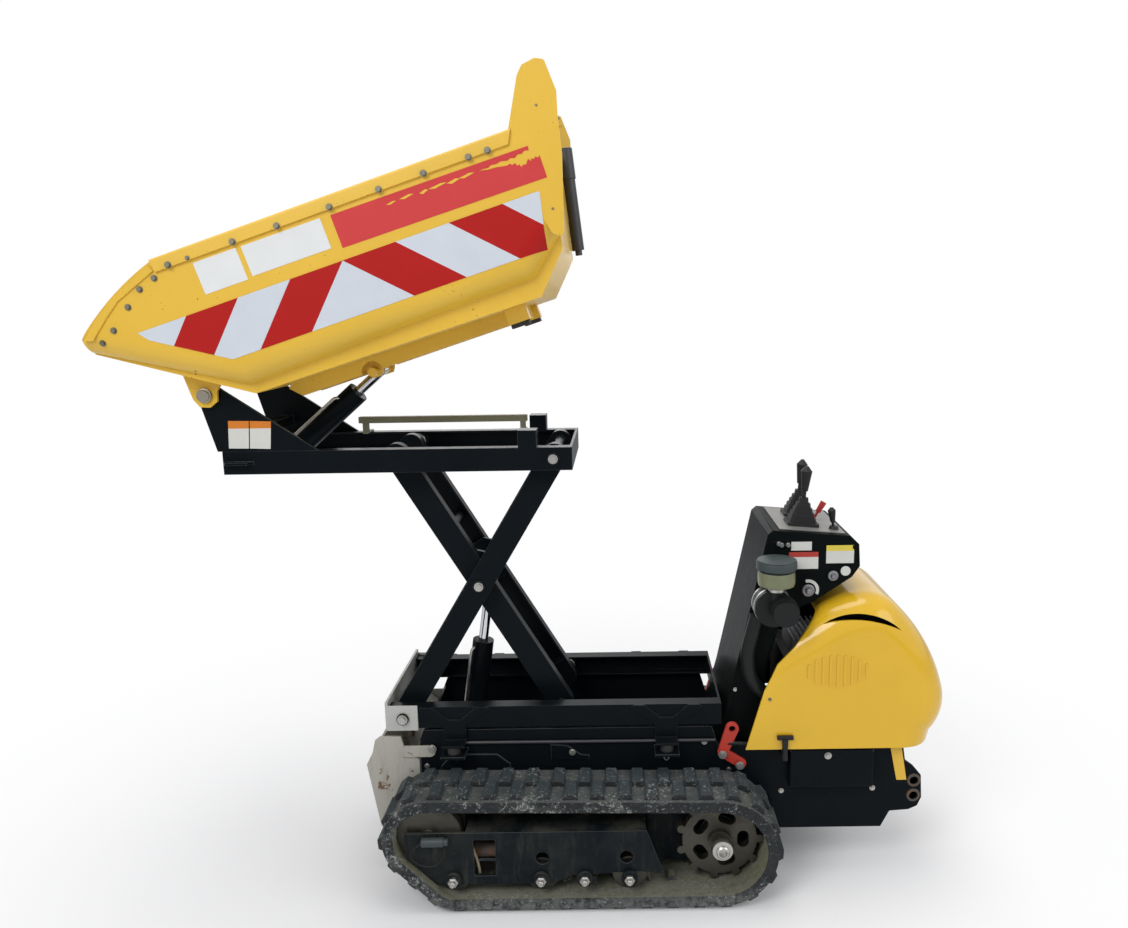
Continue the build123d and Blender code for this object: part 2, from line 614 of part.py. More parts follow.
keep(inner_arms.part, "inner_arms")

for side, s in SIDES:
    with BuildPart() as wheels:
        for end in (-1, 1):
            x, z = inner_end(end)
            rod_across(x, z, s * (RAIL_HALF - RAIL_WIDTH + 3), s * (RAIL_HALF - RAIL_WALL - 1), ROLLER_R)
            rod_across(x, z, s * INNER_ARM, s * RAIL_HALF, AXLE_PIN_R + PIN_PLAY, Mode.SUBTRACT)
    keep(wheels.part, f"arm_rollers_{side}")


# ======================================================================= top frame
POST = (TOP_REAR - 153, TOP_REAR - 100)           # rear posts that the skip rests on
POST_TOP = PIVOT[1] - 112
RUB_PLATE = (86, 20, 8)                           # length, reach, thickness

with BuildPart() as top_frame:
    rails(TOP_FRONT, TOP_REAR, HEAD_Z)
    block(TOP_REAR - 8, TOP_REAR, -RAIL_HALF, RAIL_HALF, TOP_LOW, TOP_TOP)
    for _, s in SIDES:
        rod_across(HEAD_X, HEAD_Z, s * (RAIL_HALF - 10), s * (RAIL_HALF + 10), PIN_R + PIN_PLAY, Mode.SUBTRACT)
        block(*POST, s * (RAIL_HALF - 55), s * RAIL_HALF, TOP_TOP, POST_TOP)
        # rub plate on the outer side, at the front end
        with BuildSketch(Plane.XY.offset(HEAD_Z - RUB_PLATE[2] / 2)) as rub:
            with BuildLine():
                Polyline(
                    (TOP_FRONT, s * RAIL_HALF), (TOP_FRONT + 12, s * (RAIL_HALF + RUB_PLATE[1])),
                    (TOP_FRONT + RUB_PLATE[0] - 12, s * (RAIL_HALF + RUB_PLATE[1])),
                    (TOP_FRONT + RUB_PLATE[0], s * RAIL_HALF), close=True,
                )
            make_face()
        extrude(rub.sketch, amount=RUB_PLATE[2])
keep(top_frame.part, "top_frame")

PIVOT_PIN_R = 16
TIE_SIZE, CLEVIS = (40, 30), (22, 32)             # towers' tie, and across the tip cylinder's clevis

with BuildPart() as towers:
    foot = TOP_TOP - PIVOT[1]
    tower = ((-31, 0), (-22, 22), (0, 31), (22, 28), (46, 10), (298, foot), (14, foot))
    lug_out = TOWER_OUT + LUG_GAP + LUG_PLATE
    for _, s in SIDES:
        slab([shifted(PIVOT, p) for p in tower], s * (TOWER_OUT - TOWER_PLATE), s * TOWER_OUT)
        headed_pin(*PIVOT, s, TOWER_OUT - TOWER_PLATE, lug_out, PIVOT_PIN_R)
    # tie and clevis for the tip cylinder's foot
    tie_x, tie_z = TIP_BASE_AT[0] - 42, TOP_TOP + 40
    long, high = TIE_SIZE[0] / 2, TIE_SIZE[1] / 2
    block(
        tie_x - long, tie_x + long, -TOWER_OUT + TOWER_PLATE, TOWER_OUT - TOWER_PLATE,
        tie_z - high, tie_z + high,
    )
    for s in (-1, 1):
        slab(
            ((tie_x - long, tie_z + high), (tie_x + long, tie_z + high),
             shifted(TIP_BASE_AT, (28, -20)), shifted(TIP_BASE_AT, (-28, -20))),
            s * (EYE_HALF + CLEVIS[0]), s * (EYE_HALF + CLEVIS[1]),
        )
    rod_across(*TIP_BASE_AT, -EYE_HALF - CLEVIS[1], EYE_HALF + CLEVIS[1], EYE_PIN_R)
keep(towers.part, "pivot_towers")

with BuildPart() as prop:
    # flat bar on two feet, beside the path of the inner arms
    bar_in, bar_out = INNER_ARM + ARM_WIDTH + 7, INNER_ARM + ARM_WIDTH + 31
    block(TOP_FRONT + 294, POST[0] - 5, bar_in, bar_out, TOP_TOP + 34, TOP_TOP + 54)
    for x in (TOP_FRONT + 306, POST[0] - 27):
        block(x, x + 16, bar_in, bar_out, TOP_TOP, TOP_TOP + 34)
        block(x, x + 16, bar_out, RAIL_HALF - 10, TOP_TOP, TOP_TOP + 6)
keep(prop.part, "safety_prop")


# ======================================================================= cylinders
MOUTH = 15                # length of the barrel's gland


def cylinder_plane(base, eye):
    """Plane at the base pin, looking along the cylinder."""
    d = (eye[0] - base[0], eye[1] - base[1])
    return Plane(origin=(base[0], 0, base[1]), x_dir=(0, 1, 0), z_dir=(d[0], 0, d[1]))


def barrel_and_rod(base, eye, barrel_length, barrel_r, rod_r, stroke_out, name):
    length = hypot(eye[0] - base[0], eye[1] - base[1])
    plane = cylinder_plane(base, eye)
    with BuildPart() as barrel:
        with BuildSketch(plane.offset(BARREL_BACK)) as tube:
            Circle(barrel_r)
        extrude(tube.sketch, amount=barrel_length - BARREL_BACK)
        with BuildSketch(plane.offset(BARREL_FLOOR)) as bore:
            Circle(barrel_r - BARREL_WALL)
        extrude(bore.sketch, amount=barrel_length - BARREL_FLOOR - MOUTH, mode=Mode.SUBTRACT)
        with BuildSketch(plane.offset(barrel_length - MOUTH)) as mouth:
            Circle(rod_r + PIN_PLAY)
        extrude(mouth.sketch, amount=MOUTH + 5, mode=Mode.SUBTRACT)
        rod_across(*base, -EYE_HALF, EYE_HALF, EYE_R)
        with BuildSketch(plane) as neck:
            Rectangle(2 * EYE_HALF, 2 * EYE_R - 4)
        extrude(neck.sketch, amount=BARREL_BACK + 2)
        rod_across(*base, -EYE_HALF - 5, EYE_HALF + 5, EYE_PIN_R + PIN_PLAY, Mode.SUBTRACT)
    keep(barrel.part, f"{name}_barrel")
    with BuildPart() as rod:
        rod_end = barrel_length - ROD_HOLD - stroke_out
        with BuildSketch(plane.offset(rod_end)) as bar:
            Circle(rod_r)
        extrude(bar.sketch, amount=length - rod_end)
        rod_across(*eye, -EYE_HALF, EYE_HALF, EYE_R)
        rod_across(*eye, -EYE_HALF - 5, EYE_HALF + 5, EYE_PIN_R, Mode.SUBTRACT)
    keep(rod.part, f"{name}_rod")


barrel_and_rod(LIFT_BASE, LIFT_EYE_AT, LIFT_BARREL, LIFT_R, LIFT_ROD_R, 0, "lift")
barrel_and_rod(TIP_BASE_AT, TIP_EYE_AT, TIP_BARREL, TIP_R, TIP_ROD_R, 186, "tip")


# ======================================================================= skip, drawn level
NOSE_TOP, NOSE_LOW = (-192, 230), (-200, 191)
KNEE, FLOOR_END = (165, -43), (978, -50)
HEEL, WALL_TOP = (1073, 50), (1136, 361)
RIM_FRONT, RIM_BULGE = (58, 356), (-67, 307)      # front edges of the sides are slightly bowed
CREASE = (3, 25, 50, 30)  # floor channel's depth under the sides: nose, knee, floor's end and heel


def box_of_sides(half, part_lift, inset):
    """Box with the skip's side view, its underside lifted by a share of the crease's depth."""
    low = [
        (x, z + part_lift * lift)
        for (x, z), lift in zip((NOSE_LOW, KNEE, FLOOR_END, HEEL), CREASE)
    ]
    with BuildSketch(SKIP_PLANE.offset(-half)) as side:
        with BuildLine():
            Polyline(NOSE_TOP, *low, WALL_TOP, RIM_FRONT)
            ThreePointArc(RIM_FRONT, RIM_BULGE, NOSE_TOP)
        make_face()
        if inset:
            offset(amount=-inset, kind=Kind.INTERSECTION)
    extrude(side.sketch, amount=2 * half)


def skip_form(inset):
    """The bent sheet form: a wide box with bent lower edges over a narrower floor channel."""
    with BuildPart() as wide:
        box_of_sides(SKIP_HALF - inset, 1, inset)
        flat = wide.faces().filter_by(lambda f: abs(f.normal_at().Y) > 0.9)
        low = flat.edges().filter_by(
            lambda e: SKIP_PLANE.to_local_coords(e.center()).Y < 120
            and SKIP_PLANE.to_local_coords(e.center()).X > -150
        )
        fillet(low, BEND_R - inset)
    with BuildPart() as form:
        add(wide.part)
        box_of_sides(SKIP_HALF - FLOOR_IN - inset, 0, inset)
    return form.part


def behind_wall(along, out):
    """A place up the skip's rear wall from the heel, and out behind it."""
    long = hypot(WALL_TOP[0] - HEEL[0], WALL_TOP[1] - HEEL[1])
    up = ((WALL_TOP[0] - HEEL[0]) / long, (WALL_TOP[1] - HEEL[1]) / long)
    return HEEL[0] + along * up[0] + out * up[1], HEEL[1] + along * up[1] - out * up[0]


outer_form, cavity = skip_form(0), skip_form(SHEET)
with BuildPart() as skip:
    add(outer_form)
    add(cavity, mode=Mode.SUBTRACT)
    # open the top and the sloping front mouth
    mouth = (
        (NOSE_TOP[0] + 10, NOSE_TOP[1] - 10), (RIM_FRONT[0], RIM_FRONT[1] - 8), (WALL_TOP[0] - 7, WALL_TOP[1] - 8),
        (WALL_TOP[0] - 7, WALL_TOP[1] + 40), (RIM_FRONT[0] - 60, RIM_FRONT[1] + 40),
        (NOSE_TOP[0] - 40, NOSE_TOP[1] + 60),
    )
    slab(mouth, -SKIP_HALF + SHEET, SKIP_HALF - SHEET, Mode.SUBTRACT, base=SKIP_PLANE)
    # the sides run on behind the rear wall, and up into rounded fins
    fin = (
        (1040, 200), (1062, 90), (1088, 72), (1151, 267), (1169, 350), (1187, 412), (1182, 492),
        (1160, 502), (1125, 497), (1106, 478), (1040, 361),
    )
    for s in (-1, 1):
        slab(fin, s * (SKIP_HALF - SHEET), s * SKIP_HALF, base=SKIP_PLANE, corner=9)
        # wear plate along the front edge
        wear = ((-186, 224), (-160, 218), (-101, 262), (-58, 290), (60, 332), (50, 350), (-67, 302), (-119, 272))
        slab(wear, s * SKIP_HALF, s * (SKIP_HALF + 4), base=SKIP_PLANE)
keep(skip.part, "skip_shell")

with BuildPart() as rims:
    # folded rims, bolted on outside
    for s in (-1, 1):
        rim = (
            (RIM_FRONT[0] + 6, RIM_FRONT[1] - RIM_DEEP), (1030, RIM_FRONT[1] - RIM_DEEP + 3),
            (1048, RIM_FRONT[1] + 8), (RIM_FRONT[0] + 2, RIM_FRONT[1] + 5),
        )
        slab(rim, s * SKIP_HALF, s * (SKIP_HALF + RIM_THICK), base=SKIP_PLANE)
    outside = rims.faces().filter_by(lambda f: abs(f.center().Y) > SKIP_HALF + RIM_THICK - 0.1)
    top_edges = outside.edges().filter_by(lambda e: SKIP_PLANE.to_local_coords(e.center()).Y > RIM_FRONT[1])
    fillet(top_edges, RIM_THICK - 1)
keep(rims.part, "skip_rims")


def under_floor(x):
    """A place on the skip's underside, in the skip's level frame."""
    (xa, za), (xb, zb) = (NOSE_LOW, KNEE) if x < KNEE[0] else (KNEE, FLOOR_END)
    return x, za + (x - xa) / (xb - xa) * (zb - za)


RAIL_IN, RAIL_OUTSIDE, RAIL_LOW = 64, 104, -88    # skip's own rails, across and down
BUFFER_TOP, BUFFER_LOW = -92, -104

with BuildPart() as subframe:
    for s in (-1, 1):
        slab(
            (under_floor(195), (185, -54), (215, RAIL_LOW + 2), (905, RAIL_LOW), under_floor(905)),
            s * RAIL_IN, s * RAIL_OUTSIDE, base=SKIP_PLANE,
        )
        slab(
            (under_floor(862), (862, BUFFER_TOP), (922, BUFFER_TOP), under_floor(922)),
            s * 150, s * RAIL_HALF, base=SKIP_PLANE,
        )
        # pivot lugs
        slab(
            (under_floor(-36), (-36, 0), (-26, -26), (0, -36), (26, -26), (36, 0), under_floor(62)),
            s * (TOWER_OUT + LUG_GAP), s * (TOWER_OUT + LUG_GAP + LUG_PLATE), base=SKIP_PLANE,
        )
        rod_across(*PIVOT, s * TOWER_OUT, s * (TOWER_OUT + 30), PIVOT_PIN_R + PIN_PLAY, Mode.SUBTRACT)
    with BuildSketch(SKIP_PLANE.offset(-RAIL_OUTSIDE - 6)) as notch:
        with Locations(TIP_EYE):
            Circle(EYE_R + 16)
    extrude(notch.sketch, amount=2 * RAIL_OUTSIDE + 12, mode=Mode.SUBTRACT)
    for s in (-1, 1):
        # ears and stub pins of the tip cylinder's eye
        eye_x, eye_z = TIP_EYE
        slab(
            (under_floor(eye_x - 40), under_floor(eye_x + 40), (eye_x + 21, eye_z - 4), (eye_x + 13, eye_z - 16),
             (eye_x - 13, eye_z - 16), (eye_x - 21, eye_z - 4)),
            s * RAIL_IN, s * (RAIL_IN + 10), base=SKIP_PLANE,
        )
        rod_across(*TIP_EYE_AT, s * (EYE_HALF + EYE_PLAY), s * (RAIL_OUTSIDE + 4), EYE_PIN_R + 4)
keep(subframe.part, "skip_subframe")

with BuildPart() as buffers:
    for s in (-1, 1):
        slab(
            ((866, BUFFER_TOP), (866, BUFFER_LOW), (918, BUFFER_LOW), (918, BUFFER_TOP)),
            s * 152, s * (RAIL_HALF - 5), base=SKIP_PLANE,
        )
keep(buffers.part, "skip_buffers")

TUBE_R, CAP_R, TUBE_Y = 19, 22, -245
SEAT = 0.3                # soft or round pieces to what they lie against

with BuildPart() as tube:
    # document tube up the rear wall: latch stub, body and a longer cap
    low = SKIP_PLANE.from_local_coords(Vector(*behind_wall(8, CAP_R + SEAT), TUBE_Y))
    high = SKIP_PLANE.from_local_coords(Vector(*behind_wall(9, CAP_R + SEAT), TUBE_Y))
    base = Plane(origin=low, z_dir=high - low)
    for start, end, radius in ((0, 16, 11), (16, 236, TUBE_R), (236, 330, CAP_R)):
        with BuildSketch(base.offset(start)) as ring:
            Circle(radius)
        extrude(ring.sketch, amount=end - start)
keep(tube.part, "document_tube")


# ======================================================================= console
CONSOLE = from_bed((5, BED_TOP), (41, 536), (153, 1047), (168, 1060), (395, 1041), (421, 1015), (425, 949),
                   (402, 916), (295, 845), (200, 800), (155, 640), (140, BED_TOP))
SIDE_PANEL = from_bed((30, 420), (60, 545), (166, 1022), (182, 1032), (392, 1024), (412, 1006), (415, 950),
                      (398, 920), (292, 852), (196, 806), (148, 640), (136, 420))
PANEL_FRONT, PANEL_REAR = CONSOLE[3], CONSOLE[4]

with BuildPart() as console:
    slab(CONSOLE, -CONSOLE_HALF, CONSOLE_HALF)
    for _, s in SIDES:
        slab(SIDE_PANEL, s * CONSOLE_HALF, s * (CONSOLE_HALF + 3))
keep(console.part, "console_housing")


def on_panel(x, y):
    """Plane on the console's sloping top, at a place along and across it."""
    share = (x - PANEL_FRONT[0]) / (PANEL_REAR[0] - PANEL_FRONT[0])
    slope = (PANEL_REAR[0] - PANEL_FRONT[0], 0, PANEL_REAR[1] - PANEL_FRONT[1])
    z = PANEL_FRONT[1] + share * slope[2]
    return Plane(origin=(x, y, z), x_dir=slope, z_dir=(-slope[2], 0, slope[0]))


def lever(plane, boot_top, stem_r, grip_from, grip_long, grip_r):
    """Stem out of a boot, with a grip that widens to its round top."""
    with BuildSketch(plane.offset(boot_top - 4)) as stem:
        Circle(stem_r)
    extrude(stem.sketch, amount=grip_from - boot_top + 8)
    with BuildSketch(plane.offset(grip_from)) as low:
        Circle(grip_r)
    with BuildSketch(plane.offset(grip_from + 0.8 * grip_long)) as high:
        Circle(1.7 * grip_r)
    loft(Sketch() + [low.sketch, high.sketch])
    with BuildSketch(plane.offset(grip_from + 0.8 * grip_long)) as dome:
        Circle(1.7 * grip_r)
    extrude(dome.sketch, amount=0.2 * grip_long, taper=40)


with BuildPart() as levers:
    # the two drive levers in stepped rubber boots
    for y, x in ((-62, BED_FRONT + 270), (62, BED_FRONT + 282)):
        plane = on_panel(x, y)
        for start, high, long, wide in (
            (0, 12, 96, 84), (12, 14, 78, 66), (26, 14, 68, 56), (40, 14, 56, 46), (54, 14, 44, 36), (68, 16, 30, 26),
        ):
            with BuildSketch(plane.offset(start)) as step:
                RectangleRounded(long, wide, 9)
            extrude(step.sketch, amount=high, taper=8)
        lever(plane, 84, 6, 104, 76, 10)
    # small lever behind them
    upright = on_panel(BED_FRONT + 360, -100)
    with BuildSketch(upright) as boot:
        Circle(16)
    extrude(boot.sketch, amount=12, taper=20)
    lever(upright.rotated((0, -12, 0)), 12, 4, 24, 44, 7)
keep(levers.part, "drive_levers")

with BuildPart() as throttle:
    upright = on_panel(BED_FRONT + 321, 8)
    leaning = upright.rotated((0, 25, 0))
    with BuildSketch(upright) as collar:
        Circle(9)
    extrude(collar.sketch, amount=7)
    with BuildSketch(leaning.offset(4)) as stem:
        Circle(4)
    extrude(stem.sketch, amount=30)
    with BuildSketch(leaning.offset(30)) as grip:
        Circle(8)
    extrude(grip.sketch, amount=36, taper=-3)
keep(throttle.part, "throttle_lever")

CANISTER = (BED_FRONT + 162, 846)                 # air filter's middle, its axis across
CANISTER_R, CANISTER_OUT, HOSE_R = 55, 236, 21
STACK_Y = -CANISTER_OUT + 10

with BuildPart() as cleaner:
    rod_across(*CANISTER, -CANISTER_OUT, -CONSOLE_HALF - 3, CANISTER_R)
    rod_across(CANISTER[0] + 26, CANISTER[1], -CANISTER_OUT - 40, -CANISTER_OUT, 41)
    rod_across(CANISTER[0] + 26, CANISTER[1], -CANISTER_OUT - 56, -CANISTER_OUT - 40, 36)
    for start, end, radius in ((0, 914, 20), (908, 916, 30), (916, 958, 48), (958, 964, 52), (964, 990, 56)):
        low = start or CANISTER[1]
        with BuildSketch(Plane.XY.offset(low)) as ring:
            with Locations((CANISTER[0] + 7, STACK_Y)):
                Circle(radius)
        extrude(ring.sketch, amount=end - low)
    # intake hose down to the engine
    route = from_bed((120, 812), (92, 700), (101, 600), (160, 560), (250, 560))
    with BuildSketch(Plane(origin=(route[0][0], -CONSOLE_HALF - 27, route[0][1]),
                           z_dir=(route[1][0] - route[0][0], 0, route[1][1] - route[0][1]))) as bore:
        Circle(HOSE_R)
    with BuildLine(across(-CONSOLE_HALF - 27)) as path:
        FilletPolyline(*route, radius=(150, 110, 60))
    sweep(bore.sketch, path=path.line)
keep(cleaner.part, "air_precleaner")


# ======================================================================= engine hood
HOOD_LOW = BED_TOP + HOOD_SEAT
HOOD_MOUTH = from_bed((85, HOOD_LOW), (138, 596), (176, 672), (227, 722), (336, 855))
HOOD_FRONT = from_bed((60, HOOD_LOW), (60, 662.5), (312, 826))
HOOD_BACK = from_bed((447, 866), (540, 828), (684, 575), (652, 440), (645, HOOD_LOW))
SLOT = from_bed((310, 789), (427, 822), (536, 770), (427, 804))
LOUVRE_AT, LOUVRE_COUNT, LOUVRE_PITCH, LOUVRE_HIGH = (BED_FRONT + 351, 655), 9, 21, 100


def hood_form(inset):
    """Hood drawn in by inset: straight in front, round roof and back, narrow neck."""
    half = HOOD_HALF - inset
    with BuildPart() as form:
        with BuildSketch(across(half)) as side:
            with BuildLine():
                Line(HOOD_FRONT[0], HOOD_FRONT[1])
                rise = Line(HOOD_FRONT[1], HOOD_FRONT[2])
                roof = TangentArc(HOOD_FRONT[2], HOOD_BACK[0], tangent=rise % 1)
                crown = TangentArc(HOOD_BACK[0], HOOD_BACK[1], tangent=roof % 1)
                back = TangentArc(HOOD_BACK[1], HOOD_BACK[2], tangent=crown % 1)
                under = TangentArc(HOOD_BACK[2], HOOD_BACK[3], tangent=back % 1)
                Line(under @ 1, HOOD_BACK[4])
                Line(HOOD_BACK[4], HOOD_FRONT[0])
            make_face()
            if inset:
                offset(amount=-inset, kind=Kind.INTERSECTION)
        extrude(side.sketch, amount=2 * half)
        flat = form.faces().filter_by(lambda f: abs(f.normal_at().Y) > 0.99)
        shoulders = flat.edges().filter_by(
            lambda e: e.center().X > HOOD_FRONT[0][0] + 20 and e.center().Z > HOOD_LOW + 12
        )
        fillet(shoulders, HOOD_SHOULDER - inset)
    return form.part


hood_outside, hood_inside = hood_form(0), hood_form(HOOD_WALL)
with BuildPart() as hood:
    add(hood_outside)
    add(hood_inside, mode=Mode.SUBTRACT)
    # open underneath, with round rear corners
    inside = HOOD_HALF - HOOD_WALL - 0.5
    rear = HOOD_BACK[4][0] - HOOD_WALL - 0.5
    with BuildSketch(Plane.XY.offset(HOOD_LOW - 1)) as underside:
        with Locations(((BED_FRONT + rear) / 2, 0)):
            Rectangle(rear - BED_FRONT, 2 * inside)
        fillet(underside.vertices().group_by(Axis.X)[-1], HOOD_SHOULDER - HOOD_WALL)
    extrude(underside.sketch, amount=HOOD_WALL + 2, mode=Mode.SUBTRACT)
    # and in front
    mouth = [(HOOD_MOUTH[0][0], HOOD_LOW - 5), *HOOD_MOUTH, *from_bed((336, 900), (0, 900), (0, HOOD_LOW - 5))]
    slab(mouth, -HOOD_HALF - 5, HOOD_HALF + 5, Mode.SUBTRACT)
    # air slot, a crescent in both shoulders
    with BuildSketch(across(HOOD_HALF + 5)) as crescent:
        with BuildLine():
            ThreePointArc(SLOT[0], SLOT[1], SLOT[2])
            ThreePointArc(SLOT[2], SLOT[3], SLOT[0])
        make_face()
    extrude(crescent.sketch, amount=2 * HOOD_HALF + 10, mode=Mode.SUBTRACT)
    # pressed louvres, longest in the middle
    for s in (-1, 1):
        with BuildSketch(across(max(s * HOOD_HALF, s * (HOOD_HALF + 3)))) as louvres:
            for k in range(LOUVRE_COUNT):
                share = (k - (LOUVRE_COUNT - 1) / 2) / (LOUVRE_COUNT / 2)
                x = LOUVRE_AT[0] + (k - (LOUVRE_COUNT - 1) / 2) * LOUVRE_PITCH
                with Locations((x, LOUVRE_AT[1])):
                    SlotOverall(LOUVRE_HIGH * (1 - share ** 2) ** 0.5, 8, rotation=90)
        extrude(louvres.sketch, amount=3)
    # hinge arms
    for s in (-1, 1):
        slab(
            (shifted(HINGE, (-10, -10)), shifted(HINGE, (10, -10)), shifted(HINGE, (64, 32)),
             shifted(HINGE, (76, 78)), shifted(HINGE, (-10, 14))),
            s * (HINGE_ARM[1] + 2), s * (HINGE_ARM[1] + 10),
        )
        rod_across(*HINGE, s * (HINGE_ARM[0] - 6), s * (HINGE_ARM[1] + 14), 6 + PIN_PLAY, Mode.SUBTRACT)
keep(hood.part, "engine_hood")
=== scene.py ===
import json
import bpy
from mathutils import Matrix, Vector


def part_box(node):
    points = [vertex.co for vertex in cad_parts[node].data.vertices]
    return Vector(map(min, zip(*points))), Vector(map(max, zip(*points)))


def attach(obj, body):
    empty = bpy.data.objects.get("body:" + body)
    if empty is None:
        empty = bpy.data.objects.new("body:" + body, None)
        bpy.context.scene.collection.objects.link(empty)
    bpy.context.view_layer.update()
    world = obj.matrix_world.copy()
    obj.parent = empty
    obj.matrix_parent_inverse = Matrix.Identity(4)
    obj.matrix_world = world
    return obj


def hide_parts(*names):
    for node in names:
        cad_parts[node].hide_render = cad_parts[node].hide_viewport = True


bl_info = {
    "name": "Tracked Site Dumper",
    "version": (1, 0, 0),
    "blender": (4, 5, 0),
    "location": "3D View > Sidebar > Site Dumper",
    "description": "Finish, fittings and studio for a tracked site dumper with a scissor lift",
    "category": "Object",
}

from math import cos, pi, radians, sin

import bmesh
import bpy
from mathutils import Matrix, Vector, geometry
from mathutils.bvhtree import BVHTree

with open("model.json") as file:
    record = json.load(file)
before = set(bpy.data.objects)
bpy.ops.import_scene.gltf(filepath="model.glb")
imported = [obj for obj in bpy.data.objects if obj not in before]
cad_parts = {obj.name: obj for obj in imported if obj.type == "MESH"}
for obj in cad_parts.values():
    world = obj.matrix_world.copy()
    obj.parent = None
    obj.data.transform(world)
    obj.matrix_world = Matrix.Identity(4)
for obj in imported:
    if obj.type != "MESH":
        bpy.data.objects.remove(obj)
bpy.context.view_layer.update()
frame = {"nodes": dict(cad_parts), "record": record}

# Metres, in the machine's own frame: X to the rear, -Y the left side, Z up.
# Tables of places, outlines and turned profiles are in millimetres.
MM = 0.001
RECORD = frame["record"]
JOINTS = {joint["name"]: joint for joint in RECORD["behaviour"]["joints"]}
BODY_OF = {node: body for body, nodes in RECORD["behaviour"]["bodies"].items() for node in nodes}
SLOT_OF = {part["node"]: part["material_slot"] for part in RECORD["subparts"]}
BOTH = (-1, 1)
SIDES = ((-1, "left"), (1, "right"))


# ============================================================ settings
def length(name, description, default):
    return bpy.props.FloatProperty(name=name, description=description, default=default, unit="LENGTH")


def colour(name, description, *default):
    return bpy.props.FloatVectorProperty(
        name=name, description=description, default=default, size=3, subtype="COLOR"
    )


class DumperSizes(bpy.types.PropertyGroup):
    """Sizes of the fittings that the frame doesn't hold."""

    edge: length("Plate edge", "Rounding on cut and folded plates", 0.0014)
    bolt_radius: length("Bolt head", "Radius of a bolt head over its corners", 0.0105)
    bolt_height: length("Bolt height", "Height of a bolt head", 0.007)
    stripe_width: length("Stripe width", "Length of one hazard stripe along the skip", 0.1455)
    film: length("Film", "Thickness of the films stuck on the skip", 0.0009)


class DumperColours(bpy.types.PropertyGroup):
    """Paint and film colours."""

    yellow: colour("Skip yellow", "Skip paint", 0.76, 0.47, 0.045)
    hood_yellow: colour("Hood yellow", "Hood paint", 0.76, 0.455, 0.018)
    black: colour("Black", "Frame paint", 0.0036, 0.0058, 0.0078)
    grey: colour("Grey", "Bumper bracket paint", 0.46, 0.46, 0.43)
    red: colour("Red", "Tie-down paint", 0.50, 0.045, 0.03)
    stripe_red: colour("Stripe red", "Red of the hazard stripes", 0.42, 0.012, 0.01)
    stripe_white: colour("Stripe white", "White of the hazard stripes", 0.60, 0.64, 0.69)


def sizes():
    return bpy.context.scene.dumper_sizes


# ============================================================ node helpers
FINISHES = {}


def tree_of(name):
    """A new material's tree and shader, kept by name, as the frame's materials may hold that name already."""
    material = FINISHES[name] = bpy.data.materials.new(name)
    material.use_nodes = True
    return material.node_tree, material.node_tree.nodes["Principled BSDF"]


def finish(name):
    return FINISHES[name]


def link(tree, source, target):
    tree.links.new(source, target)


def feed(tree, socket, value):
    """Sets a socket to a number or a colour, or links another node's output to it."""
    if isinstance(value, bpy.types.NodeSocket):
        link(tree, value, socket)
    elif socket.type == "RGBA":
        socket.default_value = (*value, 1)
    else:
        socket.default_value = value


def add_node(tree, kind, inputs=None, **settings):
    """A new node with its settings, and its inputs fed by name or number."""
    node = tree.nodes.new(kind)
    for label, value in settings.items():
        setattr(node, label, value)
    for key, value in (inputs or {}).items():
        feed(tree, node.inputs[key], value)
    return node


def fill(tree, node, **values):
    """Feeds a node's sockets by their names."""
    for label, value in values.items():
        feed(tree, node.inputs[label.replace("_", " ")], value)


def math_node(tree, operation, a, b, clamp=False):
    return add_node(tree, "ShaderNodeMath", {0: a, 1: b}, operation=operation, use_clamp=clamp).outputs[0]


def times(tree, a, b, clamp=False):
    return math_node(tree, "MULTIPLY", a, b, clamp)


def plus(tree, a, b):
    return math_node(tree, "ADD", a, b)


def ramp(tree, value, low, high):
    """0 below low, 1 above high."""
    inputs = {"Value": value, "From Min": low, "From Max": high}
    return add_node(tree, "ShaderNodeMapRange", inputs, interpolation_type="SMOOTHSTEP").outputs["Result"]


def mix_colour(tree, share, a, b):
    return add_node(tree, "ShaderNodeMix", {0: share, 6: a, 7: b}, data_type="RGBA").outputs[2]


def mix_value(tree, share, a, b):
    return add_node(tree, "ShaderNodeMix", {0: share, 2: a, 3: b}).outputs[0]


def object_place(tree):
    return add_node(tree, "ShaderNodeTexCoord").outputs["Object"]


def noise(tree, scale, detail=4.0, roughness=0.55, stretch=None, turn=(0, 0, 0)):
    """Cloudy noise on the piece's own coordinates, which may be stretched and turned first."""
    place = object_place(tree)
    if stretch:
        inputs = {"Vector": place, "Rotation": turn, "Scale": stretch}
        place = add_node(tree, "ShaderNodeMapping", inputs).outputs["Vector"]
    inputs = {"Vector": place, "Scale": scale, "Detail": detail, "Roughness": roughness}
    return add_node(tree, "ShaderNodeTexNoise", inputs).outputs["Fac"]


def bump(tree, shader, height, strength, distance):
    node = add_node(tree, "ShaderNodeBump", {"Strength": strength, "Distance": distance, "Height": height})
    link(tree, node.outputs["Normal"], shader.inputs["Normal"])


# ============================================================ wear groups
def wear_group(name, **floats):
    """A shader group with named number inputs and a mask: the group, its inputs and where the mask goes."""
    group = bpy.data.node_groups.new(name, "ShaderNodeTree")
    for label, default in floats.items():
        socket = group.interface.new_socket(
            label.replace("_", " "), in_out="INPUT", socket_type="NodeSocketFloat"
        )
        socket.default_value = default
    group.interface.new_socket("Mask", in_out="OUTPUT", socket_type="NodeSocketFloat")
    given, result = add_node(group, "NodeGroupInput"), add_node(group, "NodeGroupOutput")
    return group, given.outputs, result.inputs["Mask"]


def use_group(tree, name, **values):
    node = add_node(tree, "ShaderNodeGroup", node_tree=bpy.data.node_groups[name])
    fill(tree, node, **values)
    return node.outputs["Mask"]


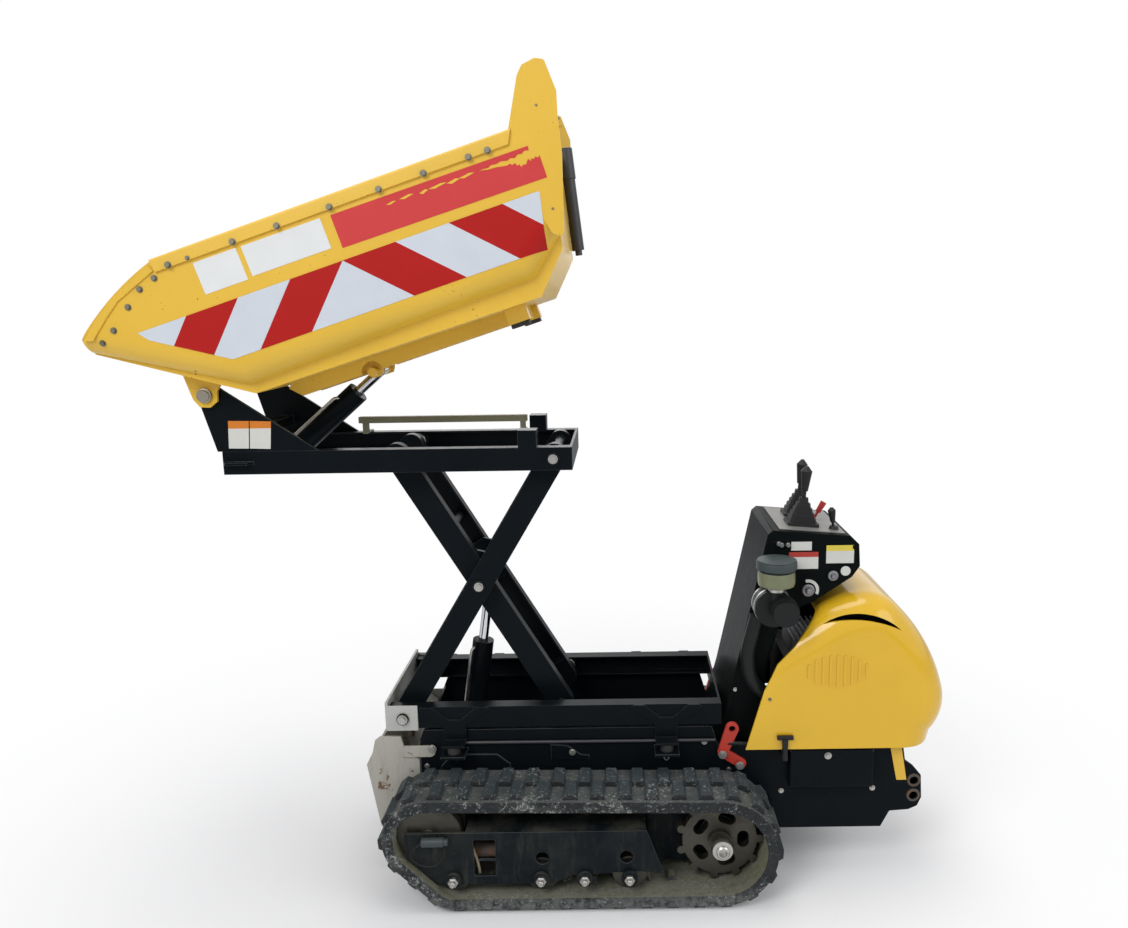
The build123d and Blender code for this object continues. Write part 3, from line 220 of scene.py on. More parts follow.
def chips_group():
    """Small hard-edged chips, gathered in patches."""
    group, given, mask = wear_group("Paint Chips", Scale=60.0, Amount=0.5, Patch_Scale=4.0)
    fine = noise(group, given["Scale"], 5.0, 0.62)
    patch = noise(group, given["Patch Scale"], 3.0, 0.5)
    level = math_node(group, "SUBTRACT", 1.02, times(group, given["Amount"], 0.35))
    over = math_node(group, "SUBTRACT", plus(group, fine, times(group, patch, 0.45)), level)
    link(group, times(group, over, 60.0, clamp=True), mask)


def scratches_group():
    """Fine scratches in two directions."""
    group, given, mask = wear_group("Scratches", Scale=18.0, Amount=0.5)
    fine = (0.25, 6.0, 6.0)
    first = noise(group, given["Scale"], 3.0, 0.5, fine, (0.3, 0.9, 0.2))
    second = noise(group, given["Scale"], 3.0, 0.5, fine, (0.8, -0.5, 1.1))
    level = math_node(group, "SUBTRACT", 0.86, times(group, given["Amount"], 0.2))
    over = math_node(group, "SUBTRACT", math_node(group, "MAXIMUM", first, second), level)
    link(group, times(group, over, 30.0, clamp=True), mask)


def streaks_group():
    """Mud that has run down upright faces."""
    group, given, mask = wear_group("Mud Streaks", Scale=7.0, Amount=0.5)
    runs = ramp(group, noise(group, given["Scale"], 6.0, 0.7, (6.0, 6.0, 0.9)), 0.5, 0.78)
    link(group, times(group, runs, given["Amount"], clamp=True), mask)


def dust_group():
    """Dust that settles on faces that look up, broken by noise."""
    group, given, mask = wear_group("Settled Dust", Scale=9.0, Amount=0.5)
    facing = add_node(group, "ShaderNodeNewGeometry").outputs["Normal"]
    up = ramp(group, add_node(group, "ShaderNodeSeparateXYZ", {"Vector": facing}).outputs["Z"], 0.2, 0.95)
    cloudy = ramp(group, noise(group, given["Scale"], 6.0, 0.65), 0.35, 0.75)
    some = plus(group, times(group, up, 0.8), 0.2)
    link(group, times(group, times(group, some, cloudy), given["Amount"], clamp=True), mask)


# ============================================================ materials
RUST = (0.085, 0.034, 0.015)
DRY_MUD = (0.20, 0.175, 0.135)


def tinted(colour, factor, more=0.0):
    return tuple(min(1, c * factor + more) for c in colour)


def painted(name, paint, gloss=0.35, chips=0.4, scratch=0.3, dust=0.25, under=RUST, coat=0.0, dirt=DRY_MUD,
            chip_scale=60.0, patch=4.0, streaks=0.0, specular=0.5):
    """Paint over steel, with chips, scratches, streaks and dust."""
    tree, shader = tree_of(name)
    base = mix_colour(tree, noise(tree, 3.0, 5.0), tinted(paint, 0.88), tinted(paint, 1.08, 0.002))
    scratched = use_group(tree, "Scratches", Amount=scratch)
    base = mix_colour(tree, times(tree, scratched, 0.5), base, tinted(paint, 0.6, 0.07))
    worn = chipped = use_group(tree, "Paint Chips", Scale=chip_scale, Amount=chips, Patch_Scale=patch)
    base = mix_colour(tree, chipped, base, under)
    if streaks:
        run = use_group(tree, "Mud Streaks", Amount=streaks)
        base = mix_colour(tree, run, base, dirt)
        worn = math_node(tree, "MAXIMUM", worn, run)
    dusty = use_group(tree, "Settled Dust", Amount=dust)
    base = mix_colour(tree, dusty, base, dirt)
    worn = math_node(tree, "MAXIMUM", worn, dusty)
    clean = mix_value(tree, noise(tree, 22.0), gloss * 0.75, gloss * 1.3)
    rough = mix_value(tree, worn, clean, 0.85)
    fill(tree, shader, Base_Color=base, Roughness=rough, Specular_IOR_Level=specular, Coat_Weight=coat,
         Coat_Roughness=0.06)
    orange_peel = times(tree, noise(tree, 260.0, 2.0), 0.12)
    bump(tree, shader, math_node(tree, "SUBTRACT", orange_peel, chipped), 0.3, 0.0005)


def rubber(name, colour, rough, dust, specular=0.4):
    tree, shader = tree_of(name)
    base = mix_colour(tree, noise(tree, 7.0, 6.0), tinted(colour, 0.7), tinted(colour, 1.35))
    base = mix_colour(tree, use_group(tree, "Settled Dust", Amount=dust, Scale=14.0), base, DRY_MUD)
    fill(tree, shader, Base_Color=base, Roughness=rough, Specular_IOR_Level=specular)
    bump(tree, shader, noise(tree, 90.0, 6.0, 0.7), 0.4, 0.0015)


def stored(tree, label):
    return add_node(tree, "ShaderNodeAttribute", attribute_name=label).outputs["Fac"]


def track_rubber(name, fleck_level):
    """Tread rubber: clean dark lug tops, dried mud between and inside, streaked sides and pale flecks."""
    tree, shader = tree_of(name)
    coarse, fine = noise(tree, 11.0, 7.0, 0.68), noise(tree, 55.0, 5.0, 0.7)
    top = mix_colour(tree, fine, (0.018, 0.024, 0.027), (0.048, 0.060, 0.066))
    mud = mix_colour(tree, fine, (0.028, 0.034, 0.034), (0.120, 0.125, 0.117))
    khaki = mix_colour(tree, fine, (0.075, 0.072, 0.045), (0.26, 0.255, 0.175))
    wall = mix_colour(tree, fine, (0.009, 0.011, 0.012), (0.028, 0.031, 0.033))
    smear = mix_colour(tree, ramp(tree, coarse, 0.50, 0.72), wall, (0.085, 0.088, 0.082))
    patches = times(tree, math_node(tree, "SUBTRACT", coarse, 0.5), 2.2)
    caked = plus(tree, stored(tree, "depth"), patches)
    base = mix_colour(tree, ramp(tree, caked, 0.50, 1.05), top, mud)
    base = mix_colour(tree, stored(tree, "inside"), base, khaki)
    base = mix_colour(tree, stored(tree, "side"), base, smear)
    # the low run is dusty
    rise = add_node(tree, "ShaderNodeSeparateXYZ", {"Vector": object_place(tree)}).outputs["Z"]
    low = math_node(tree, "SUBTRACT", 1.0, ramp(tree, rise, 0.0, 0.10))
    low = times(tree, low, ramp(tree, fine, 0.30, 0.62))
    base = mix_colour(tree, times(tree, low, 0.7), base, (0.19, 0.195, 0.185))
    specks = plus(tree, noise(tree, 120.0, 4.0, 0.7), times(tree, coarse, 0.45))
    flecks = times(tree, ramp(tree, specks, fleck_level, 0.90), 0.75)
    base = mix_colour(tree, flecks, base, (0.30, 0.32, 0.31))
    rough = mix_value(tree, ramp(tree, caked, 0.42, 0.95), 0.62, 0.92)
    fill(tree, shader, Base_Color=base, Roughness=rough, Specular_IOR_Level=0.3)
    bump(tree, shader, plus(tree, times(tree, fine, 0.5), coarse), 0.5, 0.004)


def metal(name, colour, rough, grime, under=RUST):
    """Plated, cast or worn metal with grime in patches."""
    tree, shader = tree_of(name)
    fine = noise(tree, 70.0, 6.0, 0.7)
    patches = plus(tree, times(tree, fine, 0.4), noise(tree, 9.0, 5.0, 0.6))
    dirty = ramp(tree, patches, 0.98 - 0.45 * grime, 1.06)
    clean = mix_value(tree, fine, rough * 0.7, rough * 1.3)
    base = mix_colour(tree, dirty, colour, under)
    rough = mix_value(tree, dirty, clean, 0.85)
    fill(tree, shader, Base_Color=base, Metallic=mix_value(tree, dirty, 1.0, 0.0), Roughness=rough)
    bump(tree, shader, fine, 0.15, 0.0006)


def plastic(name, colour, rough, grain, dust, specular=0.5):
    tree, shader = tree_of(name)
    base = mix_colour(tree, noise(tree, 5.0, 4.0), tinted(colour, 0.85), tinted(colour, 1.15))
    base = mix_colour(tree, use_group(tree, "Settled Dust", Amount=dust), base, DRY_MUD)
    uneven = mix_value(tree, noise(tree, 30.0), rough * 0.8, rough * 1.2)
    fill(tree, shader, Base_Color=base, Roughness=uneven, Specular_IOR_Level=specular)
    bump(tree, shader, noise(tree, 420.0, 2.0), grain, 0.0004)


def film(name, colour, scuffs):
    """Blank film with scuffs and a little dirt."""
    tree, shader = tree_of(name)
    base = mix_colour(tree, noise(tree, 14.0, 5.0), tinted(colour, 0.92), tinted(colour, 1.05))
    scuffed = times(tree, use_group(tree, "Scratches", Amount=scuffs, Scale=26.0), 0.35)
    base = mix_colour(tree, scuffed, base, (0.35, 0.33, 0.30))
    fill(tree, shader, Base_Color=base, Roughness=0.42, Specular_IOR_Level=0.15)
    bump(tree, shader, noise(tree, 700.0, 1.0), 0.12, 0.0002)


def clear_bowl(name):
    """Dusty translucent bowl of the air cleaner."""
    tree, shader = tree_of(name)
    cloud = noise(tree, 18.0, 5.0)
    base = mix_colour(tree, cloud, (0.19, 0.205, 0.10), (0.32, 0.34, 0.19))
    fill(tree, shader, Base_Color=base, Roughness=0.3, Transmission_Weight=0.35, IOR=1.5)
    bump(tree, shader, cloud, 0.1, 0.0006)


# name, colour, roughness, dust, and the reflection's strength where it isn't the usual one
RUBBERS = (
    ("mount_rubber", (0.018, 0.018, 0.018), 0.7, 0.5),
    ("hose_rubber", (0.008, 0.008, 0.009), 0.5, 0.08, 0.25),
    ("pale_hose", (0.30, 0.26, 0.17), 0.5, 0.3),
)
# name, colour, roughness, grime, and the grime's colour where it isn't rust
METALS = (
    ("worn_iron", (0.085, 0.081, 0.068), 0.5, 0.8, (0.042, 0.035, 0.026)),
    ("cast_metal", (0.22, 0.22, 0.23), 0.5, 0.4),
    ("bare_steel", (0.45, 0.44, 0.42), 0.35, 0.45),
    ("pin_steel", (0.30, 0.28, 0.23), 0.42, 0.55, (0.12, 0.085, 0.055)),
    ("zinc", (0.40, 0.39, 0.37), 0.38, 0.45, (0.12, 0.09, 0.065)),
    ("worn_bolt", (0.20, 0.19, 0.15), 0.45, 0.6, (0.09, 0.075, 0.04)),
    ("chrome_rod", (0.60, 0.61, 0.63), 0.12, 0.12),
)
# name, colour, roughness, grain, dust, and the reflection's strength where it isn't the usual one
PLASTICS = (
    ("black_plastic", (0.008, 0.010, 0.010), 0.4, 0.2, 0.05, 0.2),
    ("console_paint", (0.0055, 0.007, 0.007), 0.3, 0.1, 0.02, 0.012),
    ("boot_rubber", (0.007, 0.007, 0.008), 0.5, 0.3, 0.04, 0.3),
    # This row is near-black painted shade for the hood's inner faces
    ("hood_inside", (0.010, 0.010, 0.009), 0.9, 0.6, 0.1, 0.1),
    ("cap_grey", (0.042, 0.056, 0.058), 0.45, 0.2, 0.1, 0.25),
    ("tube_black", (0.022, 0.022, 0.027), 0.45, 0.25, 0.15),
    ("top_plate", (0.185, 0.18, 0.17), 0.35, 0.1, 0.12, 0.3),
    ("knob_red", (0.45, 0.03, 0.02), 0.3, 0.1, 0.02),
)
# name, colour, scuffs
FILMS = (
    ("band_red", (0.60, 0.055, 0.055), 0.2),
    ("plate_white", (0.74, 0.75, 0.74), 0.15),
    ("label_white", (0.62, 0.62, 0.58), 0.3),
    ("label_red", (0.42, 0.05, 0.04), 0.2),
    ("label_yellow", (0.68, 0.55, 0.08), 0.2),
    ("label_orange", (0.62, 0.20, 0.03), 0.3),
)
TRACK_FLECKS = (("track_rubber", 0.80), ("track_edge", 0.68))


def make_paints(tint):
    yellow, hood, black = tuple(tint.yellow), tuple(tint.hood_yellow), tuple(tint.black)
    painted("skip_paint", yellow, 0.36, 0.20, 0.22, 0.06, coat=0.1, chip_scale=95.0, patch=6.0, specular=0.35)
    painted("skip_inside", tinted(yellow, 0.8), 0.5, 0.62, 0.8, 0.55, (0.13, 0.075, 0.04), chip_scale=40.0)
    painted("rim_paint", yellow, 0.4, 0.24, 0.4, 0.12, (0.16, 0.10, 0.05), chip_scale=120.0, patch=9.0)
    painted("yellow_edge", tinted(yellow, 0.95), 0.42, 0.5, 0.4, 0.12, chip_scale=80.0)
    painted("hood_gloss", hood, 0.16, 0.0, 0.1, 0.02, coat=0.35, specular=0.3)
    painted("black_frame", black, 0.30, 0.10, 0.25, 0.04, (0.04, 0.028, 0.02), chip_scale=90.0,
            specular=0.05, dirt=(0.14, 0.135, 0.115))
    painted("muddy_frame", tinted(black, 1.5, 0.001), 0.40, 0.16, 0.35, 0.6, (0.05, 0.036, 0.026),
            streaks=0.22, chip_scale=90.0, specular=0.05, dirt=(0.125, 0.122, 0.095))
    painted("black_edge", tinted(black, 3, 0.014), 0.42, 0.45, 0.5, 0.2, (0.08, 0.05, 0.035), chip_scale=80.0,
            specular=0.3)
    painted("grey_paint", tuple(tint.grey), 0.5, 0.12, 0.5, 0.12, (0.20, 0.12, 0.07), chip_scale=30.0,
            streaks=0.12)
    painted("stained_grey", (0.41, 0.395, 0.345), 0.55, 0.42, 0.6, 0.3, (0.15, 0.08, 0.04), chip_scale=22.0,
            streaks=0.45, dirt=(0.19, 0.14, 0.085))
    painted("red_paint", tuple(tint.red), 0.33, 0.3, 0.3, 0.1, (0.16, 0.12, 0.10), specular=0.25)
    painted("olive_paint", (0.16, 0.155, 0.092), 0.5, 0.35, 0.4, 0.25)
    painted("rusty_plate", (0.075, 0.052, 0.04), 0.75, 0.6, 0.3, 0.5, (0.13, 0.06, 0.03), chip_scale=30.0)
    painted("engine_paint", (0.020, 0.021, 0.022), 0.5, 0.2, 0.3, 0.2, specular=0.15)


def make_materials():
    for build in (chips_group, scratches_group, streaks_group, dust_group):
        build()
    tint = bpy.context.scene.dumper_colours
    make_paints(tint)
    for name, fleck_level in TRACK_FLECKS:
        track_rubber(name, fleck_level)
    for make, rows in ((rubber, RUBBERS), (metal, METALS), (plastic, PLASTICS), (film, FILMS)):
        for row in rows:
            make(*row)
    clear_bowl("bowl_green")
    film("stripe_red", tuple(tint.stripe_red), 0.25)
    film("stripe_white", tuple(tint.stripe_white), 0.25)


# A node's own finish comes first, then its slot's. Other slots share their finish's name
NODE_FINISH = {
    "engine_hood": "hood_gloss",
    "skip_rims": "rim_paint",
    "front_bumper": "stained_grey",
    "engine_block": "engine_paint",
    "track_frame_left": "muddy_frame",
    "track_frame_right": "muddy_frame",
    "axle_beams": "muddy_frame",
    "console_housing": "console_paint",
    "drive_levers": "boot_rubber",
    "throttle_lever": "knob_red",
    "document_tube": "tube_black",
    "side_cover_left": "black_frame",
    "side_cover_right": "black_frame",
}
SLOT_FINISH = {"black_paint": "black_frame", "chromed_rod": "chrome_rod", "yellow_paint": "skip_paint"}
EDGE_FINISH = {
    "black_frame": "black_edge",
    "muddy_frame": "black_edge",
    "skip_paint": "yellow_edge",
    "rim_paint": "yellow_edge",
    "track_rubber": "track_edge",
}
WIDE_EDGES = ("base_frame", "track_left", "track_right")
WIDER = 1.7


# ============================================================ mesh helpers
def shade(mesh, angle):
    """Smooth faces, with edges sharper than the angle kept sharp."""
    shape = bmesh.new()
    shape.from_mesh(mesh)
    for face in shape.faces:
        face.smooth = True
    for edge in shape.edges:
        edge.smooth = not (len(edge.link_faces) == 2 and edge.calc_face_angle(0) > radians(angle))
    shape.to_mesh(mesh)
    shape.free()


def new_piece(name, mesh, body, materials=(), replaces=(), angle=32.0):
    """An object for a finished mesh, riding on its body."""
    for material in materials:
        mesh.materials.append(finish(material))
    shade(mesh, angle)
    obj = bpy.data.objects.new(name, mesh)
    bpy.context.scene.collection.objects.link(obj)
    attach(obj, body)
    if replaces:
        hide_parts(*replaces)
    return obj


def solid_piece(name, shape, body, slot, *materials, angle=32.0):
    """A piece made of a bmesh's closed shapes, with their faces turned outwards."""
    mesh = bpy.data.meshes.new(name)
    bmesh.ops.recalc_face_normals(shape, faces=shape.faces)
    shape.to_mesh(mesh)
    shape.free()
    return new_piece(name, mesh, body, materials, angle=angle)


def round_edges(obj, width, edge_index=-1):
    """Rounds a piece's edges, which take the material with that number, or their faces' own."""
    rounding = obj.modifiers.new("edges", "BEVEL")
    rounding.width = width
    rounding.segments = 2
    rounding.limit_method = "ANGLE"
    rounding.angle_limit = radians(35)
    rounding.use_clamp_overlap = True
    rounding.material = edge_index


def merged_copy(node):
    """A CAD node's mesh with its triangles joined into flat faces."""
    mesh = frame["nodes"][node].data.copy()
    shape = bmesh.new()
    shape.from_mesh(mesh)
    bmesh.ops.remove_doubles(shape, verts=shape.verts, dist=2e-6)
    bmesh.ops.dissolve_limit(shape, angle_limit=radians(0.6), verts=shape.verts, edges=shape.edges)
    shape.to_mesh(mesh)
    shape.free()
    mesh.materials.clear()
    return mesh


def finish_node(node):
    """A copy of a CAD node with rounded, worn edges, standing for that node."""
    slot = SLOT_OF[node]
    name = NODE_FINISH.get(node) or SLOT_FINISH.get(slot, slot)
    mesh = merged_copy(node)
    for polygon in mesh.polygons:
        polygon.material_index = 0
    edge = EDGE_FINISH.get(name)
    materials = (name, edge) if edge else (name,)
    obj = new_piece(f"{node}_finish", mesh, BODY_OF[node], materials, (node,), 35)
    round_edges(obj, sizes().edge * (WIDER if node in WIDE_EDGES else 1), 1 if edge else -1)
    return obj


SURFACES = {}
# Where a search line starts, clear of the whole machine, and how far a film's back lies off the paint
OUTSIDE, ABOVE = 2.0, 4.0
FILM_GAP = 0.0001


def meet(node, start, direction):
    """Where a line first meets a CAD node, and which way the node's face looks there."""
    if node not in SURFACES:
        mesh = frame["nodes"][node].data
        corners = [v.co.copy() for v in mesh.vertices]
        SURFACES[node] = BVHTree.FromPolygons(corners, [tuple(p.vertices) for p in mesh.polygons])
    place, normal, _, _ = SURFACES[node].ray_cast(Vector(start), Vector(direction))
    if place is None:
        raise ValueError(f"{node} is not met from {start}")
    return place, normal


def seat(node, x, z, side=-1):
    """Where a line across the machine, from outside on one side, first meets a node."""
    return meet(node, (x, side * OUTSIDE, z), (0, -side, 0))


TIP = JOINTS["skip_tip"]["pos_m"]
SKIP_TILT = radians(18)


def on_skip(x, z):
    """A place on the parked skip, given from its pivot, along and square to its level floor, in mm."""
    c, s = cos(SKIP_TILT), sin(SKIP_TILT)
    return TIP[0] + (x * c - z * s) * MM, TIP[2] + (x * s + z * c) * MM


def on_frame(x, z):
    return x * MM, z * MM


def cut(shape, point, normal):
    geom = shape.verts[:] + shape.edges[:] + shape.faces[:]
    bmesh.ops.bisect_plane(shape, geom=geom, plane_co=point, plane_no=normal)


def cut_to_grid(shape, step, low, high):
    """Cuts a flat sheet in XZ into strips, so that it can follow a curved side."""
    for normal in (Vector((1, 0, 0)), Vector((0, 0, 1))):
        place = low
        while place < high:
            cut(shape, normal * place, normal)
            place += step


def thicken(shape, faces, move):
    """Gives flat faces a thickness, by moving a copy of them."""
    for item in bmesh.ops.extrude_face_region(shape, geom=faces)["geom"]:
        if isinstance(item, bmesh.types.BMVert):
            item.co += move


def sheet_on_left(name, outline, node, materials, lift, cuts=(), finish_at=None, place=on_frame, step=0.03):
    """A thin film that follows a node's left side. Its outline and cuts are in mm, in XZ or as place says."""
    shape = bmesh.new()
    shape.faces.new([shape.verts.new((x * MM, 0, z * MM)) for x, z in outline])
    for point, normal in cuts:
        cut(shape, (point[0] * MM, 0, point[1] * MM), (normal[0], 0, normal[1]))
    if finish_at:
        for face in shape.faces:
            centre = face.calc_center_median() / MM
            face.material_index = finish_at(centre.x, centre.z)
    low = min(min(point) for point in outline) * MM
    high = max(max(point) for point in outline) * MM
    cut_to_grid(shape, step, low + step / 2, high)
    for vert in shape.verts:
        x, z = place(vert.co.x / MM, vert.co.z / MM)
        hit, _ = seat(node, x, z)
        vert.co = Vector((x, hit.y - lift, z))
    thicken(shape, shape.faces[:], Vector((0, lift - FILM_GAP, 0)))
    return solid_piece(name, shape, BODY_OF[node], None, *materials)


def headed_label(name, outline, node, head, head_finish):
    """A blank white label, whose part above the height called head has its own colour."""
    cuts = (((0, head), (0, 1)),)
    finishes = ("label_white", head_finish)
    sheet_on_left(name, outline, node, finishes, sizes().film, cuts, lambda x, z: int(z > head))


def oblong(left, right, low, high):
    return (left, low), (right, low), (right, high), (left, high)


def prism(shape, outline, y_one, y_other):
    """Adds a straight prism along Y to a bmesh: outline in XZ, in mm, between two places in metres."""
    low, high = (
        [shape.verts.new((x * MM, y, z * MM)) for x, z in outline] for y in sorted((y_one, y_other))
    )
    shape.faces.new(low)
    shape.faces.new(list(reversed(high)))
    for k in range(len(outline)):
        n = (k + 1) % len(outline)
        shape.faces.new((low[n], low[k], high[k], high[n]))


def turned_solid(shape, profile, place, axis, segments=28):
    """Adds a turned solid to a bmesh. Its profile is radius and distance along the axis, in mm."""
    turn = Vector((0, 0, 1)).rotation_difference(Vector(axis)).to_matrix()
    rings = []
    for radius, along in profile:
        angles = [2 * pi * k / segments for k in range(segments)] if radius > 0 else [0]
        corners = [Vector((radius * cos(a), radius * sin(a), along)) * MM for a in angles]
        rings.append([shape.verts.new(Vector(place) + turn @ corner) for corner in corners])
    for lower, upper in zip(rings, rings[1:]):
        for k in range(segments):
            n = (k + 1) % segments
            if len(lower) == 1:
                shape.faces.new((lower[0], upper[k], upper[n]))
            elif len(upper) == 1:
                shape.faces.new((lower[n], lower[k], upper[0]))
            else:
                shape.faces.new((lower[k], upper[k], upper[n], lower[n]))
    for ring in (rings[0], rings[-1]):
        if len(ring) > 1:
            shape.faces.new(ring)


def turned_piece(name, profile, place, axis, segments, slot, material):
    """A piece of one turned solid on the chassis."""
    shape = bmesh.new()
    turned_solid(shape, profile, place, axis, segments)
    return solid_piece(name, shape, "chassis", slot, material)


def route(y, points):
    """Points in mm, with Y measured from a face at y, in metres."""
    return [(x * MM, y + across * MM, z * MM) for x, across, z in points]


def tube(name, points, radius, body, material):
    """A round tube through points in metres, smooth through its bends."""
    curve = bpy.data.curves.new(name, "CURVE")
    curve.dimensions = "3D"
    curve.bevel_depth = radius
    curve.bevel_resolution = 4
    curve.use_fill_caps = True
    spline = curve.splines.new("NURBS")
    spline.points.add(len(points) - 1)
    for point, place in zip(spline.points, points):
        point.co = (*place, 1)
    spline.order_u = 3
    spline.use_endpoint_u = True
    spline.resolution_u = 8
    holder = bpy.data.objects.new(name, curve)
    bpy.context.scene.collection.objects.link(holder)
    depsgraph = bpy.context.evaluated_depsgraph_get()
    mesh = bpy.data.meshes.new_from_object(holder.evaluated_get(depsgraph))
    bpy.data.objects.remove(holder)
    bpy.data.curves.remove(curve)
    shape = bmesh.new()
    shape.from_mesh(mesh)
    bmesh.ops.remove_doubles(shape, verts=shape.verts, dist=1e-5)
    bmesh.ops.recalc_face_normals(shape, faces=shape.faces)
    shape.to_mesh(mesh)
    shape.free()
    return new_piece(name, mesh, body, (material,), angle=50)


# ============================================================ bolts
def bolt_tree():
    """Hex bolts with washers on every point, facing along its stored direction."""
    tree = bpy.data.node_groups.new("Hex Bolts", "GeometryNodeTree")
    face = tree.interface
    face.new_socket("Points", in_out="INPUT", socket_type="NodeSocketGeometry")
    for label, default in (("Head Radius", 0.0105), ("Head Height", 0.007), ("Washer Radius", 0.0145),
                           ("Washer Height", 0.0022)):
        face.new_socket(label, in_out="INPUT", socket_type="NodeSocketFloat").default_value = default
    face.new_socket("Finish", in_out="INPUT", socket_type="NodeSocketMaterial")
    face.new_socket("Bolts", in_out="OUTPUT", socket_type="NodeSocketGeometry")
    given = add_node(tree, "NodeGroupInput").outputs
    joined = add_node(tree, "GeometryNodeJoinGeometry")
    for sides, radius, height, below in ((24, "Washer Radius", "Washer Height", None),
                                         (6, "Head Radius", "Head Height", "Washer Height")):
        disc = add_node(tree, "GeometryNodeMeshCylinder",
                        {"Vertices": sides, "Radius": given[radius], "Depth": given[height]})
        rise = times(tree, given[height], 0.5)
        if below:
            rise = plus(tree, rise, given[below])
        lift = add_node(tree, "ShaderNodeCombineXYZ", {"Z": rise})
        moved = add_node(tree, "GeometryNodeTransform",
                         {"Geometry": disc.outputs["Mesh"], "Translation": lift.outputs["Vector"]})
        link(tree, moved.outputs["Geometry"], joined.inputs["Geometry"])
    facing, size = (
        add_node(tree, "GeometryNodeInputNamedAttribute", {"Name": label}, data_type=kind).outputs[0]
        for label, kind in (("facing", "FLOAT_VECTOR"), ("size", "FLOAT"))
    )
    aim = add_node(tree, "FunctionNodeAlignRotationToVector", {"Vector": facing}, axis="Z")
    chance = add_node(tree, "FunctionNodeRandomValue", {"Max": pi, "Seed": 7})
    spin = add_node(tree, "FunctionNodeAxisAngleToRotation", {"Angle": chance.outputs[1]})
    turn = add_node(tree, "FunctionNodeRotateRotation",
                    {"Rotation": aim.outputs["Rotation"], "Rotate By": spin.outputs["Rotation"]},
                    rotation_space="LOCAL")
    placed = add_node(tree, "GeometryNodeInstanceOnPoints",
                      {"Points": given["Points"], "Instance": joined.outputs["Geometry"],
                       "Rotation": turn.outputs["Rotation"], "Scale": size})
    real = add_node(tree, "GeometryNodeRealizeInstances", {"Geometry": placed.outputs["Instances"]})
    coat = add_node(tree, "GeometryNodeSetMaterial",
                    {"Geometry": real.outputs["Geometry"], "Material": given["Finish"]})
    add_node(tree, "NodeGroupOutput", {"Bolts": coat.outputs["Geometry"]})
    return tree


def run_tree(name, mesh, tree, values):
    """A plain mesh of what a geometry tree makes from a mesh."""
    holder = bpy.data.objects.new(name, mesh)
    bpy.context.scene.collection.objects.link(holder)
    modifier = holder.modifiers.new("nodes", "NODES")
    modifier.node_group = tree
    for item in tree.interface.items_tree:
        if item.in_out == "INPUT" and item.name in values:
            modifier[item.identifier] = values[item.name]
    depsgraph = bpy.context.evaluated_depsgraph_get()
    made = bpy.data.meshes.new_from_object(holder.evaluated_get(depsgraph))
    holder.modifiers.remove(modifier)
    bpy.data.objects.remove(holder)
    made.name = name
    return made


def points_mesh(name, places):
    """Loose points with a stored direction and size each."""
    mesh = bpy.data.meshes.new(name)
    mesh.from_pydata([place for place, _, _ in places], [], [])
    mesh.attributes.new("facing", "FLOAT_VECTOR", "POINT")
    mesh.attributes.new("size", "FLOAT", "POINT")
    for k, (_, direction, scale) in enumerate(places):
        mesh.attributes["facing"].data[k].vector = direction
        mesh.attributes["size"].data[k].value = scale
    return mesh


# node, which sides, and x, z and size of each bolt
SIDE_BOLTS = (
    ("front_bumper", BOTH, ((-349, 413, 0.9),)),
    ("chassis_frame", BOTH, ((-368, 355, 0.55), (352, 371, 0.6), (466, 420, 0.6))),
    ("chassis_frame", BOTH, ((70, 395, 0.7), (540, 330, 0.55))),
    ("side_cover_left", (-1,), ((830, 388, 0.75),)),
    ("side_cover_right", (1,), ((830, 388, 0.75),)),
    ("chassis_frame", BOTH, ((699, 258, 0.55), (975, 263, 0.6))),
    ("tie_down_left", (-1,), ((519, 388, 0.9), (571, 352, 0.9))),
    ("tie_down_right", (1,), ((519, 388, 0.9), (571, 352, 0.9))),
    ("outer_arms", BOTH, ((-430, 512, 1.05), (36, 1288, 0.95))),
    ("inner_arms", BOTH, ((-197, 900, 0.95),)),
    ("console_housing", BOTH, ((641, 930, 0.45), (613, 800, 0.45), (589, 690, 0.45), (562, 570, 0.45))),
    ("console_housing", BOTH, ((688, 975, 0.4),)),
    ("engine_hood", BOTH, ((654, 570, 0.38),)),
)
# node, size, and places on the skip from its pivot
SKIP_BOLTS = (
    ("skip_rims", 0.62, ((104, 332),)),
    ("skip_rims", 0.42, ((158, 332),)),
    ("skip_rims", 0.62, tuple((along, 332) for along in (283, 405, 549, 683, 804, 925, 976))),
    ("skip_shell", 0.6, ((54, 314), (7, 300), (-40, 268), (-100, 225), (-143, 205))),
    ("skip_shell", 0.24, ((1084, 147), (1128, 396))),
)


class BuildBolts(bpy.types.Operator):
    """Hex bolts on every bolted joint, one mesh for each body"""

    bl_idname = "dumper.bolts"
    bl_label = "Bolts"

    def execute(self, context):
        wanted = []
        for node, sides, places in SIDE_BOLTS:
            wanted += [(node, *on_frame(x, z), side, size) for x, z, size in places for side in sides]
        for side in BOTH:
            for node, size, places in SKIP_BOLTS:
                wanted += [(node, *on_skip(*place), side, size) for place in places]
        found = {}
        for node, x, z, side, size in wanted:
            found.setdefault(BODY_OF[node], []).append((*seat(node, x, z, side), size))
        tree = bolt_tree()
        values = {"Head Radius": sizes().bolt_radius, "Head Height": sizes().bolt_height}
        for body, places in found.items():
            values["Finish"] = finish("worn_bolt" if body in ("skip", "hood") else "zinc")
            mesh = run_tree(f"bolts_{body}", points_mesh("points", places), tree, values)
            new_piece(f"bolts_{body}", mesh, body, angle=25)
        return {"FINISHED"}


